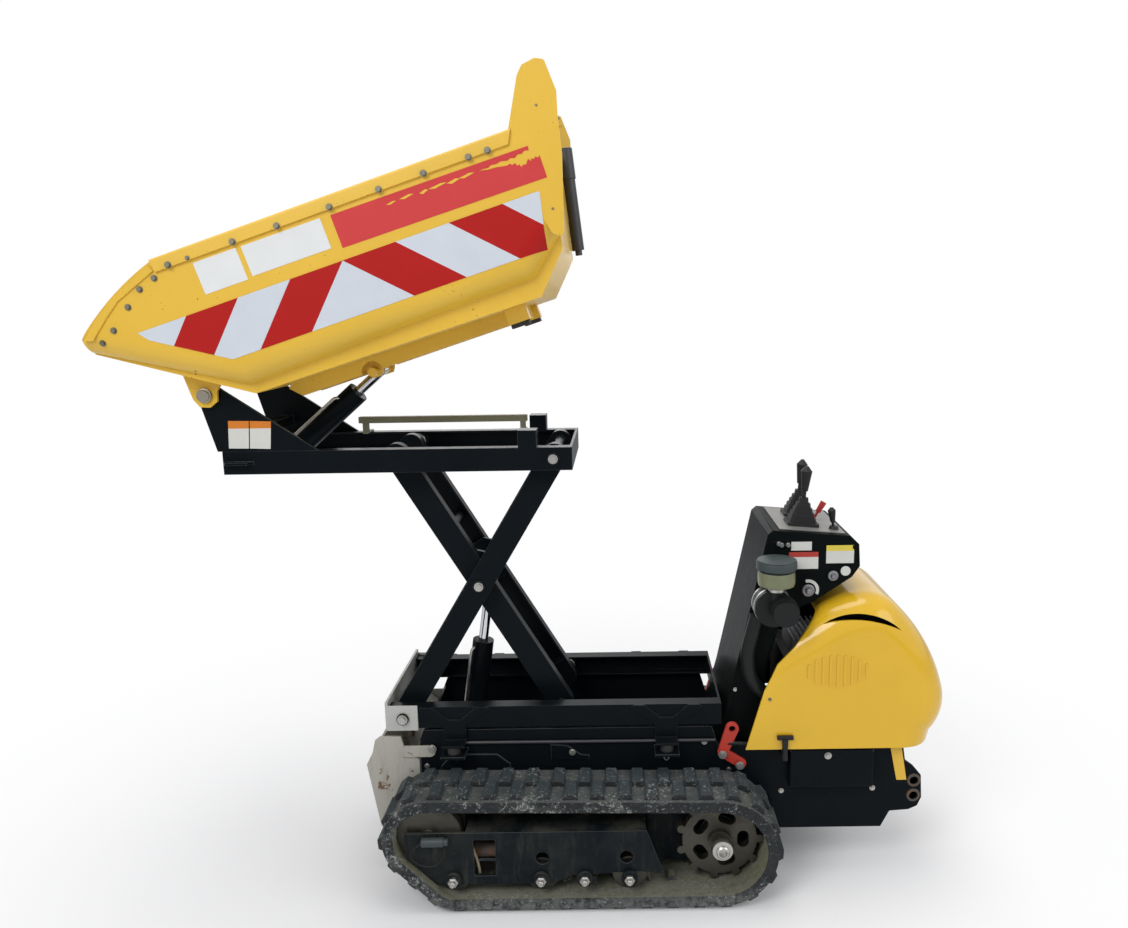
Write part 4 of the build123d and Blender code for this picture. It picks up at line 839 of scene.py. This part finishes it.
# ============================================================ skip
# Places on the skip are from its pivot, along and square to its level floor
STRIPE_TOP, STRIPE_LOW, STRIPE_MID = 199, 57, 530
STRIPES_EACH_WAY = 3
BAND = ((-44, 199), (-22, 172), (165, 57), (1036, 57), (1047, 112), (1066, 196), (1062, 199))
# The red band's right end is torn: a slit runs in from the end, under a strip that stays
RED_BAND = (
    (542, 228), (1096, 224), (1096, 280), (1090, 276), (1085, 281), (1079, 276), (1074, 280),
    (1071, 274), (1065, 281), (1061, 276), (1056, 270), (1049, 272), (1043, 268), (1040, 276),
    (1034, 274), (1031, 282), (1023, 280), (1017, 285), (1010, 283), (997, 285), (981, 288), (961, 289),
    (948, 292), (935, 291), (948, 295), (962, 293), (972, 297), (985, 295), (998, 298), (1014, 294),
    (1024, 297), (1035, 294), (1044, 300), (1054, 298), (1063, 303), (1074, 300), (1075, 311),
    (542, 314),
)
# Small tears above the slit, as paint over the band: middle, half length and half height
TEARS = (
    (700, 292, 14, 3), (742, 294, 20, 4), (788, 291, 12, 5), (826, 293, 26, 4), (868, 291, 18, 5),
    (904, 293, 22, 4),
)
PLATES = (("plate_front", 163, 282, 233, 317), ("plate_rear", 296, 514, 237, 316))
OVER_SHELL, OVER_BAND = 0.0003, 0.0004


def stripe_of(x, z):
    """0 for a red stripe, 1 for a white one: chevrons that lean away from the middle."""
    along = (abs(x - STRIPE_MID) - (STRIPE_TOP - z)) * MM / sizes().stripe_width
    return 0 if 0 < along < STRIPES_EACH_WAY and int(along) % 2 == 0 else 1


def tear(x, z, half, high):
    return (x - half, z), (x - half * 0.3, z - high), (x + half, z + 1), (x + half * 0.4, z + high)


class BuildMarkings(bpy.types.Operator):
    """Hazard stripes, a plain red band and two blank plates on the skip's left side"""

    bl_idname = "dumper.markings"
    bl_label = "Skip markings"

    def execute(self, context):
        width, lift = sizes().stripe_width / MM, sizes().film
        cuts = [((STRIPE_MID + lean * k * width, STRIPE_TOP), (lean, 1))
                for lean in BOTH for k in range(STRIPES_EACH_WAY + 1)]
        cuts.append(((STRIPE_MID, STRIPE_LOW), (1, 0)))
        sheet_on_left("hazard_stripes", BAND, "skip_shell", ("stripe_red", "stripe_white"), lift + OVER_SHELL,
                      cuts, stripe_of, on_skip, 0.008)
        sheet_on_left("red_band", RED_BAND, "skip_shell", ("band_red",), lift, place=on_skip, step=0.012)
        patches = [(f"band_tear_{k}", tear(*place), "skip_paint", OVER_BAND) for k, place in enumerate(TEARS)]
        patches += [(name, oblong(*edges), "plate_white", 0) for name, *edges in PLATES]
        for name, outline, material, over in patches:
            sheet_on_left(name, outline, "skip_shell", (material,), lift + over, place=on_skip)
        return {"FINISHED"}


# ============================================================ frame
TOWER_LABELS = (
    ((-876, 1330), (-820, 1329), (-814, 1407), (-872, 1408)),
    ((-817, 1329), (-759, 1327), (-752, 1405), (-811, 1407)),
)
TOWER_LABEL_HEAD = 1386
# Routes of pipes and hoses: X, distance across from their face, Z
BASE_PIPE = ((-246, 0, 431), (-200, 0, 431), (100, 0, 430), (400, 0, 429), (498, 0, 429))
BED_HOSE = ((535, 0, 418), (560, -4, 420), (600, -6, 417), (650, -4, 416), (672, 12, 414))
PIPE_OUT = 0.014
PIPE_R, HOSE_R = 0.005, 0.0065
REAR_STRAP = ((1022, 408), (1056, 406), (1076, 290), (1046, 290))
STRAP_SEAT = (1.04, 0.33)
STRAP_THICK = 0.004
PIN_HEAD = ((20.5, -1), (20.5, 2), (16.5, 3.5), (16.5, 7), (14, 9))
TAIL_RING = ((13.5, -1), (13.5, 3), (19, 3), (21, 0), (21, -1))
TAIL_HOLES = (0.286, 0.237)
TAIL_HOLE_X, TAIL_RING_X, BESIDE_HOLE = 1.099, 1.1, 0.022


class BuildFrameFittings(bpy.types.Operator):
    """Blank tower labels, a pipe and a hose, rear strap, pivot pin heads and rings in the tail holes"""

    bl_idname = "dumper.frame_fittings"
    bl_label = "Frame fittings"

    def execute(self, context):
        for k, outline in enumerate(TOWER_LABELS):
            headed_label(f"tower_label_{k}", outline, "pivot_towers", TOWER_LABEL_HEAD, "label_orange")
        floor_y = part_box("chassis_floor")[0][1] - PIPE_OUT
        tube("base_pipe", route(floor_y, BASE_PIPE), PIPE_R, "chassis", "tube_black")
        shape = bmesh.new()
        place, _ = seat("chassis_frame", *STRAP_SEAT)
        prism(shape, REAR_STRAP, place.y - STRAP_THICK, place.y)
        solid_piece("rear_strap", shape, "chassis", "yellow_paint", "skip_paint")
        shape = bmesh.new()
        for side in BOTH:
            head, _ = seat("pivot_towers", TIP[0], TIP[2], side)
            turned_solid(shape, PIN_HEAD, (TIP[0], head.y, TIP[2]), (0, side, 0), 32)
        solid_piece("pivot_pin_heads", shape, "top_frame", "bare_steel", "pin_steel")
        bed_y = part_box("engine_bed")[0][1] - PIPE_OUT
        tube("bed_hose", route(bed_y, BED_HOSE), HOSE_R, "chassis", "hose_rubber")
        shape = bmesh.new()
        for side in BOTH:
            for z in TAIL_HOLES:
                edge, _ = seat("chassis_frame", TAIL_HOLE_X, z + BESIDE_HOLE, side)
                turned_solid(shape, TAIL_RING, (TAIL_RING_X, edge.y, z), (0, side, 0), 32)
        solid_piece("tail_rings", shape, "chassis", "worn_iron", "rusty_plate")
        return {"FINISHED"}


# ============================================================ hood and engine
LATCH_STRAP = ((693, 396), (707, 396), (709, 452), (691, 452))
LATCH_BAR = oblong(676, 724, 446, 459)
LATCH_HOOK = oblong(692, 708, 380, 398)
LATCH_SEAT, HOOK_SEAT = (0.700, 0.460), (0.700, 0.386)
LATCH_THICK, BAR_STEP = 0.012, 0.002
# A near-black sheet behind the air slots, as painted shade inside the hood
SLOT_SHADE_STEPS, SLOT_SHADE_HIGH = 12, 30
SLOT_SHADE_IN, SLOT_SHADE_THICK = 0.085, 0.004


def slot_shade_outline():
    """A band that follows the air slots' arch."""
    shares = [k / SLOT_SHADE_STEPS for k in range(SLOT_SHADE_STEPS + 1)]
    arch = [(816 + 212 * share, 786 + 46 * sin(pi * share) - 22 * share) for share in shares]
    return arch + [(x, z - SLOT_SHADE_HIGH) for x, z in reversed(arch)]


class BuildHoodFittings(bpy.types.Operator):
    """Rubber latches that hold the hood down, and a near-black sheet behind its air slots as painted shade"""

    bl_idname = "dumper.hood_fittings"
    bl_label = "Hood fittings"

    def execute(self, context):
        shape = bmesh.new()
        for side in BOTH:
            place, _ = seat("engine_hood", *LATCH_SEAT, side)
            outer = place.y + side * LATCH_THICK
            low, high = sorted((place.y, outer))
            prism(shape, LATCH_STRAP, low, high)
            prism(shape, LATCH_BAR, low, high + BAR_STEP * side)
            foot, _ = seat("chassis_frame", *HOOK_SEAT, side)
            prism(shape, LATCH_HOOK, foot.y, outer)
        round_edges(solid_piece("hood_latches", shape, "chassis", "mount_rubber", "boot_rubber"), 0.002)
        # a near-black sheet behind the air slots stands for the shade inside the hood
        shape = bmesh.new()
        for side in BOTH:
            near = side * (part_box("engine_hood")[1][1] - SLOT_SHADE_IN)
            prism(shape, slot_shade_outline(), near, near + side * SLOT_SHADE_THICK)
        solid_piece("slot_shade_sheet", shape, "hood", "mount_rubber", "hose_rubber")
        return {"FINISHED"}


# Heights here are above the engine block
HEAD_OUTLINE = ((745, -2), (900, -2), (895, 52), (750, 52))
FINS, FIN_START, FIN_PITCH, FIN_THICK, FIN_HIGH = 9, 756, 16.5, 4, 66
HEAD_HALF, FIN_HALF = 0.085, 0.098
FAN_COWL = ((98, -2), (98, 14), (86, 26), (40, 30), (36, 34), (0, 34))
FILLER_CAP = ((0, 0), (18, 0), (20, 4), (20, 16), (17, 19), (0, 19))
SILENCER = ((0, -110), (24, -110), (29, -104), (29, 104), (24, 110), (0, 110))
FAN, CAP_PLACE, SILENCER_PLACE, SILENCER_RISE = (0.850, 0.500), (0.945, -0.075), (0.935, 0.02), 0.029


class BuildEngineFittings(bpy.types.Operator):
    """Head with cooling fins, fan cowl, silencer and filler cap on the plain engine under the hood"""

    bl_idname = "dumper.engine_fittings"
    bl_label = "Engine fittings"

    def execute(self, context):
        _, block_y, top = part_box("engine_block")[1]
        above = top / MM
        shape = bmesh.new()
        prism(shape, [(x, above + z) for x, z in HEAD_OUTLINE], -HEAD_HALF, HEAD_HALF)
        for k in range(FINS):
            x = FIN_START + FIN_PITCH * k
            prism(shape, oblong(x, x + FIN_THICK, above, above + FIN_HIGH), -FIN_HALF, FIN_HALF)
        round_edges(solid_piece("engine_head", shape, "chassis", "cast_metal", "cast_metal"), 0.001)
        shape = bmesh.new()
        for side in BOTH:
            turned_solid(shape, FAN_COWL, (FAN[0], block_y * side, FAN[1]), (0, side, 0), 48)
        turned_solid(shape, FILLER_CAP, (*CAP_PLACE, top - 0.001), (0, 0, 1))
        solid_piece("engine_cowls", shape, "chassis", "black_plastic", "black_plastic")
        place = (*SILENCER_PLACE, top + SILENCER_RISE)
        turned_piece("engine_silencer", SILENCER, place, (0, 1, 0), 36, "worn_iron", "rusty_plate")
        return {"FINISHED"}


# ============================================================ console and air cleaner
# name, finish of a coloured head, left, right, low, high, and the head's low edge if it has a head
LABELS = (
    ("console_label_small", "label_white", 721, 781, 1000, 1026, 2000),
    ("console_label_red", "label_red", 715, 801, 944, 995, 980),
    ("console_label_yellow", "label_yellow", 824, 905, 960, 1014, 997),
)
KNOBS = ((684, 1022, 7, 10), (692, 1018, 7, 10), (711, 1018, 7, 10), (845, 923, 15, 8), (845, 923, 8, 16))
KEY_PLATE = ((14.5, -0.5), (14.5, 0.8))
KEY_PLACE, DIAL_PLACE = (0.882, 0.936), (0.773, 0.879)
DIAL = ((18.5, -1), (18.5, 6), (16, 8), (10, 8), (9, 20), (7, 22))
ARC_OUTER, ARC_INNER, ARC_STEPS = 32.5, 23.5, 16
TOP_PLATE_ENDS = (0.690, 0.884)
TOP_PLATE_IN, TOP_PLATE_LIFT, BESIDE_LEVERS = 0.022, 0.0004, 0.15


def dial_arc(place):
    """A curved strip round the dial, above and behind it."""
    angles = [radians(-25 + 130 * k / ARC_STEPS) for k in range(ARC_STEPS + 1)]
    x, z = place.x / MM, place.z / MM
    outer = [(x + ARC_OUTER * cos(a), z + ARC_OUTER * sin(a)) for a in angles]
    return outer + [(x + ARC_INNER * cos(a), z + ARC_INNER * sin(a)) for a in reversed(angles)]


class BuildConsoleFittings(bpy.types.Operator):
    """Blank labels, knobs, key plate, dial and top plate of the console"""

    bl_idname = "dumper.console_fittings"
    bl_label = "Console fittings"

    def execute(self, context):
        for name, head_finish, left, right, low, high, head in LABELS:
            headed_label(name, oblong(left, right, low, high), "console_housing", head, head_finish)
        shape = bmesh.new()
        for x, z, radius, reach in KNOBS:
            place, normal = seat("console_housing", x * MM, z * MM)
            turned_solid(shape, ((radius, -1), (radius, reach * 0.8), (radius * 0.8, reach)), place, normal)
        solid_piece("console_knobs", shape, "chassis", None, "cast_metal")
        shape = bmesh.new()
        turned_solid(shape, KEY_PLATE, *seat("console_housing", *KEY_PLACE), 32)
        place, normal = seat("console_housing", *DIAL_PLACE)
        prism(shape, dial_arc(place), place.y - 0.001, place.y + 0.0005)
        solid_piece("console_dial_plate", shape, "chassis", None, "label_white")
        turned_piece("console_dial", DIAL, place, normal, 36, None, "cast_metal")
        self.make_top_plate()
        return {"FINISHED"}

    def make_top_plate(self):
        """Thin plate on the sloping top, inside the console's edges"""
        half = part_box("console_housing")[1][1] - TOP_PLATE_IN
        corners = []
        for x in TOP_PLATE_ENDS:
            place, normal = meet("console_housing", (x, BESIDE_LEVERS, ABOVE), (0, 0, -1))
            corners += [Vector((x, y, place.z)) + normal * TOP_PLATE_LIFT for y in (-half, half)]
        shape = bmesh.new()
        flat = shape.faces.new([shape.verts.new(corners[k]) for k in (0, 2, 3, 1)])
        thicken(shape, [flat], normal * 0.002)
        solid_piece("console_top_plate", shape, "chassis", "grey_paint", "top_plate")


# The bowl, cap and lower clamp are round the upright stack, with heights from the floor
STACK = (0.669, -0.226, 0)
CANISTER = (0.662, 0, 0.846)
BOWL = ((48.5, 916.5), (51.5, 916.5), (53.5, 925), (53.5, 950), (51, 957.5), (48.5, 957.5))
CAP = ((56.5, 964.5), (58.5, 966.5), (58.5, 984), (55, 990.5), (40, 993), (16, 994.5), (0, 994.5))
STACK_CLAMP = ((19, 897), (22.5, 897), (22.5, 906), (19, 906))
CANISTER_CLAMPS = (-222, -185)


class BuildCleaner(bpy.types.Operator):
    """Bowl, cap and clamps on the plain air cleaner"""

    bl_idname = "dumper.cleaner"
    bl_label = "Air cleaner"

    def execute(self, context):
        up = (0, 0, 1)
        turned_piece("cleaner_bowl", BOWL, STACK, up, 48, "black_plastic", "bowl_green")
        turned_piece("cleaner_cap", CAP, STACK, up, 48, "black_plastic", "cap_grey")
        shape = bmesh.new()
        for start in CANISTER_CLAMPS:
            clamp = ((54.2, start), (56.2, start), (56.2, start + 10), (54.2, start + 10))
            turned_solid(shape, clamp, CANISTER, (0, 1, 0), 48)
        turned_solid(shape, STACK_CLAMP, STACK, up, 32)
        solid_piece("cleaner_clamps", shape, "chassis", "bare_steel", "bare_steel")
        return {"FINISHED"}


# ============================================================ cylinders and running gear
# How far along the barrel, and how far off its middle in shares of PIPE_OFF
BARREL_PIPE = (
    (60, 0.85), (64, 1.12), (80, 1.16), (120, 1.16), (200, 1.16), (262, 1.16), (275, 1.12), (278, 0.85),
)
PIPE_OFF = 0.026


class BuildHoses(bpy.types.Operator):
    """Hard pipe along each cylinder's barrel"""

    bl_idname = "dumper.hoses"
    bl_label = "Cylinder pipes"

    def execute(self, context):
        for name in ("lift", "tip"):
            start = Vector(JOINTS[f"{name}_cylinder_swing"]["pos_m"])
            axis = Vector(JOINTS[f"{name}_cylinder_stroke"]["axis"])
            square = axis.cross(Vector((0, 1, 0))).normalized()
            if square.z < 0 and name == "tip":
                square = -square
            off = (square - Vector((0, 1, 0))) * PIPE_OFF
            points = [start + axis * along * MM + off * share for along, share in BARREL_PIPE]
            tube(f"{name}_pipe", points, PIPE_R, f"{name}_barrel", "bare_steel")
        return {"FINISHED"}


AXLES, AXLE_HIGH = (-268, -17, 108, 236), 97
# profile, and how many sides it is turned with
AXLE_WASHER = (((24, -2), (24, 3), (21, 5)), 32)
AXLE_NUT = (((15.5, 4), (15.5, 14), (13, 17)), 6)
AXLE_END = (((8.5, 16), (8.5, 24), (7, 26)), 20)
HUB_CAP = ((33, -6), (33, 2), (29, 10), (19, 12), (19, 19), (16, 22), (12, 22), (11, 10), (0, 10))
BELLY = ((-300, 130), (-260, 105), (560, 105), (600, 135), (600, 250), (-300, 250))
BELLY_THICK = 0.006
MOTOR_PLATE_R, MOTOR_PLATE_ENDS = 116, ((300, 80), (290, 235))
MOTOR_PLATE_INNER, MOTOR_PLATE_OUTER = 0.250, 0.257
TENSION_ROD = ((21, -215), (21, -150), (12, -148), (12, 300), (0, 300))
TENSION_HIGH = 0.150
SPRING_START, SPRING_PITCH, SPRING_R, SPRING_TURNS, SPRING_STEPS = -0.145, 0.011, 0.020, 12, 8
WINDOW_HOSE = ((-222, 0, 205), (-214, 0, 175), (-206, 0, 150), (-199, 0, 122), (-197, 0, 100))
WINDOW_HOSE_IN = 0.030
SPRING_WIRE_R, WINDOW_HOSE_R, GREASE_LINE_R = 0.0035, 0.0042, 0.0028
CANISTER_OUT, CANISTER_HIGH = 0.007, 0.222
GREASE_CANISTER = (
    (0, -352), (12.5, -352), (13.5, -350), (13.5, -290), (10.5, -288), (10.5, -278), (0, -278),
)
GREASE_LINE = (
    (-352, 0, 218), (-368, 0, 210), (-386, 3, 190), (-384, 3, 166), (-355, 3, 146), (-325, 3, 143),
    (-302, 3, 158), (-291, 3, 180), (-287, 0, 208),
)


def motor_plate(hub):
    """Half round behind the sprocket, closed on the track frame."""
    turns = [pi * k / 12 for k in range(13)]
    rear = [(hub[0] / MM + MOTOR_PLATE_R * sin(a), hub[2] / MM + MOTOR_PLATE_R * cos(a)) for a in turns]
    return (*rear, *MOTOR_PLATE_ENDS)


def spring_turns(y):
    turns = []
    for k in range(SPRING_TURNS * SPRING_STEPS):
        angle = 2 * pi * k / SPRING_STEPS
        x = SPRING_START + SPRING_PITCH * k / SPRING_STEPS
        turns.append((x, y + SPRING_R * cos(angle), TENSION_HIGH + SPRING_R * sin(angle)))
    return turns


class BuildRunningGear(bpy.types.Operator):
    """Axle nuts, hub caps, belly and motor plates, tensioners, window hoses and the grease line"""

    bl_idname = "dumper.running_gear"
    bl_label = "Running gear fittings"

    def execute(self, context):
        nuts, washers, caps, plates, rods = (bmesh.new() for _ in range(5))
        for side, word in SIDES:
            out = (0, side, 0)
            low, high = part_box(f"track_frame_{word}")
            face, middle = (low if side < 0 else high)[1], (low[1] + high[1]) / 2
            for x in AXLES:
                for shape, (profile, count) in ((washers, AXLE_WASHER), (nuts, AXLE_NUT), (nuts, AXLE_END)):
                    turned_solid(shape, profile, (x * MM, face, AXLE_HIGH * MM), out, count)
            low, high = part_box(f"sprocket_{word}")
            hub = ((low[0] + high[0]) / 2, low[1] if side < 0 else high[1], (low[2] + high[2]) / 2)
            turned_solid(caps, HUB_CAP, hub, out, 40)
            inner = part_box("chassis_floor")[1][1] * side
            prism(plates, BELLY, inner, inner + BELLY_THICK * side)
            prism(plates, motor_plate(hub), MOTOR_PLATE_INNER * side, MOTOR_PLATE_OUTER * side)
            turned_solid(rods, TENSION_ROD, (0, middle, TENSION_HIGH), (1, 0, 0))
            tube(f"spring_{word}", spring_turns(middle), SPRING_WIRE_R, "chassis", "rusty_plate")
            hose = route(face - side * WINDOW_HOSE_IN, WINDOW_HOSE)
            tube(f"window_hose_{word}", hose, WINDOW_HOSE_R, "chassis", "pale_hose")
        # the left frame alone carries the grease canister and its line
        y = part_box("track_frame_left")[0][1] - CANISTER_OUT
        place = (0, y, CANISTER_HIGH)
        turned_piece("grease_canister", GREASE_CANISTER, place, (1, 0, 0), 32, None, "cap_grey")
        tube("grease_line", route(y, GREASE_LINE), GREASE_LINE_R, "chassis", "hose_rubber")
        solid_piece("hub_caps", caps, "chassis", "bare_steel", "bare_steel")
        solid_piece("belly_plates", plates, "chassis", "black_paint", "muddy_frame")
        solid_piece("tension_rods", rods, "chassis", "worn_iron", "rusty_plate")
        solid_piece("axle_nuts", nuts, "chassis", "bare_steel", "zinc", angle=25)
        solid_piece("axle_washers", washers, "chassis", "black_paint", "muddy_frame")
        return {"FINISHED"}


# ============================================================ finishes
LUG_DEPTH, BELT_DEPTH = 0.014, 0.026
SKIN = 0.003


def depth_under(hull, point):
    """How far a point in XZ lies inside a convex outline."""
    nearest = 1.0
    for a, b in zip(hull, hull[1:] + hull[:1]):
        foot, share = geometry.intersect_point_line(point, a, b)
        if 0 <= share <= 1:
            nearest = min(nearest, (point - foot).length)
    return nearest


def mark_track(mesh):
    """Stores how deep each corner lies under the lug tops, and which faces look sideways or inwards."""
    flat = [Vector((v.co.x, v.co.z)) for v in mesh.vertices]
    hull = [flat[k] for k in geometry.convex_hull_2d(flat)]
    for label, kind in (("depth", "POINT"), ("inside", "POINT"), ("side", "CORNER")):
        mesh.attributes.new(label, "FLOAT", kind)
    for k, point in enumerate(flat):
        nearest = depth_under(hull, point)
        mesh.attributes["depth"].data[k].value = min(1.0, nearest / LUG_DEPTH)
        mesh.attributes["inside"].data[k].value = 1.0 if nearest > BELT_DEPTH else 0.0
    for polygon in mesh.polygons:
        value = 1.0 if abs(polygon.normal.y) > 0.8 else 0.0
        for loop in polygon.loop_indices:
            mesh.attributes["side"].data[loop].value = value


def mark_skip(mesh):
    """Gives the skip's inner faces their own worn paint."""
    mesh.materials.append(finish("skip_inside"))
    low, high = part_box("skip_shell")
    middle = Vector(((low[0] + high[0]) / 2, 0, (low[2] + high[2]) / 2 + 0.25))
    for polygon in mesh.polygons:
        inner = polygon.normal.dot(middle - polygon.center) > 0.02
        if inner and abs(polygon.center.y) < high[1] - SKIN:
            polygon.material_index = 2


def mark_hood(mesh):
    """Paints the hood's inner faces near black, as painted shade inside the hood."""
    mesh.materials.append(finish("hood_inside"))
    low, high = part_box("engine_hood")
    middle = Vector(((low[0] + high[0]) / 2, 0, low[2] + 0.25))
    for polygon in mesh.polygons:
        ahead = polygon.center + polygon.normal * 0.012
        inner = polygon.normal.dot(middle - polygon.center) > 0
        behind_mouth = low[0] + 0.02 < ahead.x and ahead.z > low[2]
        if inner and behind_mouth and abs(polygon.center.y) < high[1] - SKIN:
            polygon.material_index = 1


MARKS = {
    "track_left": mark_track,
    "track_right": mark_track,
    "skip_shell": mark_skip,
    "engine_hood": mark_hood,
}


class BuildFinishes(bpy.types.Operator):
    """Give every node of the frame its paint, rubber or metal"""

    bl_idname = "dumper.finishes"
    bl_label = "Finishes"

    def execute(self, context):
        make_materials()
        for node in frame["nodes"]:
            piece = finish_node(node)
            if node in MARKS:
                MARKS[node](piece.data)
        return {"FINISHED"}


# ============================================================ stage
# name, place, size, watts
LAMPS = (
    ("key", (-2.2, -3.8, 4.4), 2.6, 125),
    ("rear_fill", (4.2, -2.6, 3.2), 3.2, 60),
    ("top", (0.2, 0.4, 5.4), 3.4, 105),
    ("far_side", (-0.8, 4.6, 3.0), 3.4, 40),
)
LAMP_AIM = Vector((0, 0, 0.9))
WORLD_STRENGTH = 0.42
FLOOR_REACH = 60.0
CAMERA_PLACE = (0.222, -2.691, 1.710)
CAMERA_DOWN, CAMERA_ROLL = radians(10.03), radians(0.8)
CAMERA_LENS, CAMERA_SHIFT = 28.5, -0.0488


def make_floor():
    """Pale floor, which shows as white away from the machine and keeps the shadow near it."""
    mesh = bpy.data.meshes.new("floor")
    corners = oblong(-FLOOR_REACH, FLOOR_REACH, -FLOOR_REACH, FLOOR_REACH)
    mesh.from_pydata([(x, y, 0) for x, y in corners], [], [(0, 1, 2, 3)])
    floor = bpy.data.objects.new("floor", mesh)
    bpy.context.scene.collection.objects.link(floor)
    tree, shader = tree_of("floor_white")
    fill(tree, shader, Base_Color=(0.93, 0.93, 0.93), Roughness=0.9)
    glow = add_node(tree, "ShaderNodeEmission", {"Color": (1, 1, 1)})
    away = add_node(tree, "ShaderNodeVectorMath", {0: object_place(tree)}, operation="LENGTH")
    seen = add_node(tree, "ShaderNodeLightPath").outputs["Is Camera Ray"]
    share = times(tree, ramp(tree, away.outputs["Value"], 0.35, 2.6), seen)
    mixed = add_node(tree, "ShaderNodeMixShader", {0: share, 1: shader.outputs[0], 2: glow.outputs[0]})
    link(tree, mixed.outputs["Shader"], tree.nodes["Material Output"].inputs["Surface"])
    mesh.materials.append(finish("floor_white"))


def make_lamps():
    for name, place, size, watts in LAMPS:
        light = bpy.data.lights.new(name, "AREA")
        light.shape = "DISK"
        light.size = size
        light.energy = watts
        lamp = bpy.data.objects.new(name, light)
        bpy.context.scene.collection.objects.link(lamp)
        lamp.location = place
        lamp.rotation_mode = "QUATERNION"
        lamp.rotation_quaternion = (LAMP_AIM - Vector(place)).to_track_quat("-Z", "Y")


def make_world():
    """Soft light all round, with white behind the machine and in what it reflects."""
    world = bpy.data.worlds.new("studio")
    bpy.context.scene.world = world
    world.use_nodes = True
    tree = world.node_tree
    base = tree.nodes["Background"]
    fill(tree, base, Color=(0.9, 0.93, 1.0), Strength=WORLD_STRENGTH)
    white = add_node(tree, "ShaderNodeBackground", {"Color": (1, 1, 1), "Strength": 1.0})
    path = add_node(tree, "ShaderNodeLightPath").outputs
    seen = math_node(tree, "MAXIMUM", path["Is Camera Ray"], path["Is Glossy Ray"])
    mixed = add_node(tree, "ShaderNodeMixShader", {0: seen, 1: base.outputs[0], 2: white.outputs[0]})
    link(tree, mixed.outputs[0], tree.nodes["World Output"].inputs["Surface"])


def make_camera():
    data = bpy.data.cameras.new("camera")
    camera = bpy.data.objects.new("camera", data)
    bpy.context.scene.collection.objects.link(camera)
    data.lens = CAMERA_LENS
    data.sensor_width = 36.0
    data.shift_x = CAMERA_SHIFT
    right, up = Vector((1, 0, 0)), Vector((0, sin(CAMERA_DOWN), cos(CAMERA_DOWN)))
    c, s = cos(CAMERA_ROLL), sin(CAMERA_ROLL)
    right, up = c * right - s * up, s * right + c * up
    turn = Matrix((right, up, right.cross(up))).transposed().to_4x4()
    camera.matrix_world = Matrix.Translation(CAMERA_PLACE) @ turn
    bpy.context.scene.camera = camera


class BuildStage(bpy.types.Operator):
    """Floor, lamps, world and camera"""

    bl_idname = "dumper.stage"
    bl_label = "Stage"

    def execute(self, context):
        context.scene.view_settings.view_transform = "Standard"
        make_floor()
        make_lamps()
        make_world()
        make_camera()
        return {"FINISHED"}


OPERATORS = (
    BuildFinishes,
    BuildMarkings,
    BuildBolts,
    BuildFrameFittings,
    BuildHoodFittings,
    BuildEngineFittings,
    BuildConsoleFittings,
    BuildCleaner,
    BuildHoses,
    BuildRunningGear,
    BuildStage,
)


class DumperPanel(bpy.types.Panel):
    """Sizes, colours, and a button for each group of pieces"""

    bl_idname = "VIEW3D_PT_site_dumper"
    bl_label = "Site Dumper"
    bl_space_type = "VIEW_3D"
    bl_region_type = "UI"
    bl_category = "Site Dumper"

    def draw(self, context):
        for group in (context.scene.dumper_sizes, context.scene.dumper_colours):
            for label in group.__annotations__:
                self.layout.prop(group, label)
        for operator in OPERATORS:
            self.layout.operator(operator.bl_idname)


CLASSES = (DumperSizes, DumperColours, *OPERATORS, DumperPanel)


def register():
    for cls in CLASSES:
        bpy.utils.register_class(cls)
    bpy.types.Scene.dumper_sizes = bpy.props.PointerProperty(type=DumperSizes)
    bpy.types.Scene.dumper_colours = bpy.props.PointerProperty(type=DumperColours)


def unregister():
    del bpy.types.Scene.dumper_colours
    del bpy.types.Scene.dumper_sizes
    for cls in reversed(CLASSES):
        bpy.utils.unregister_class(cls)


def main():
    register()
    for operator in OPERATORS:
        category, name = operator.bl_idname.split(".")
        getattr(getattr(bpy.ops, category), name)()


if __name__ == "__main__":
    main()
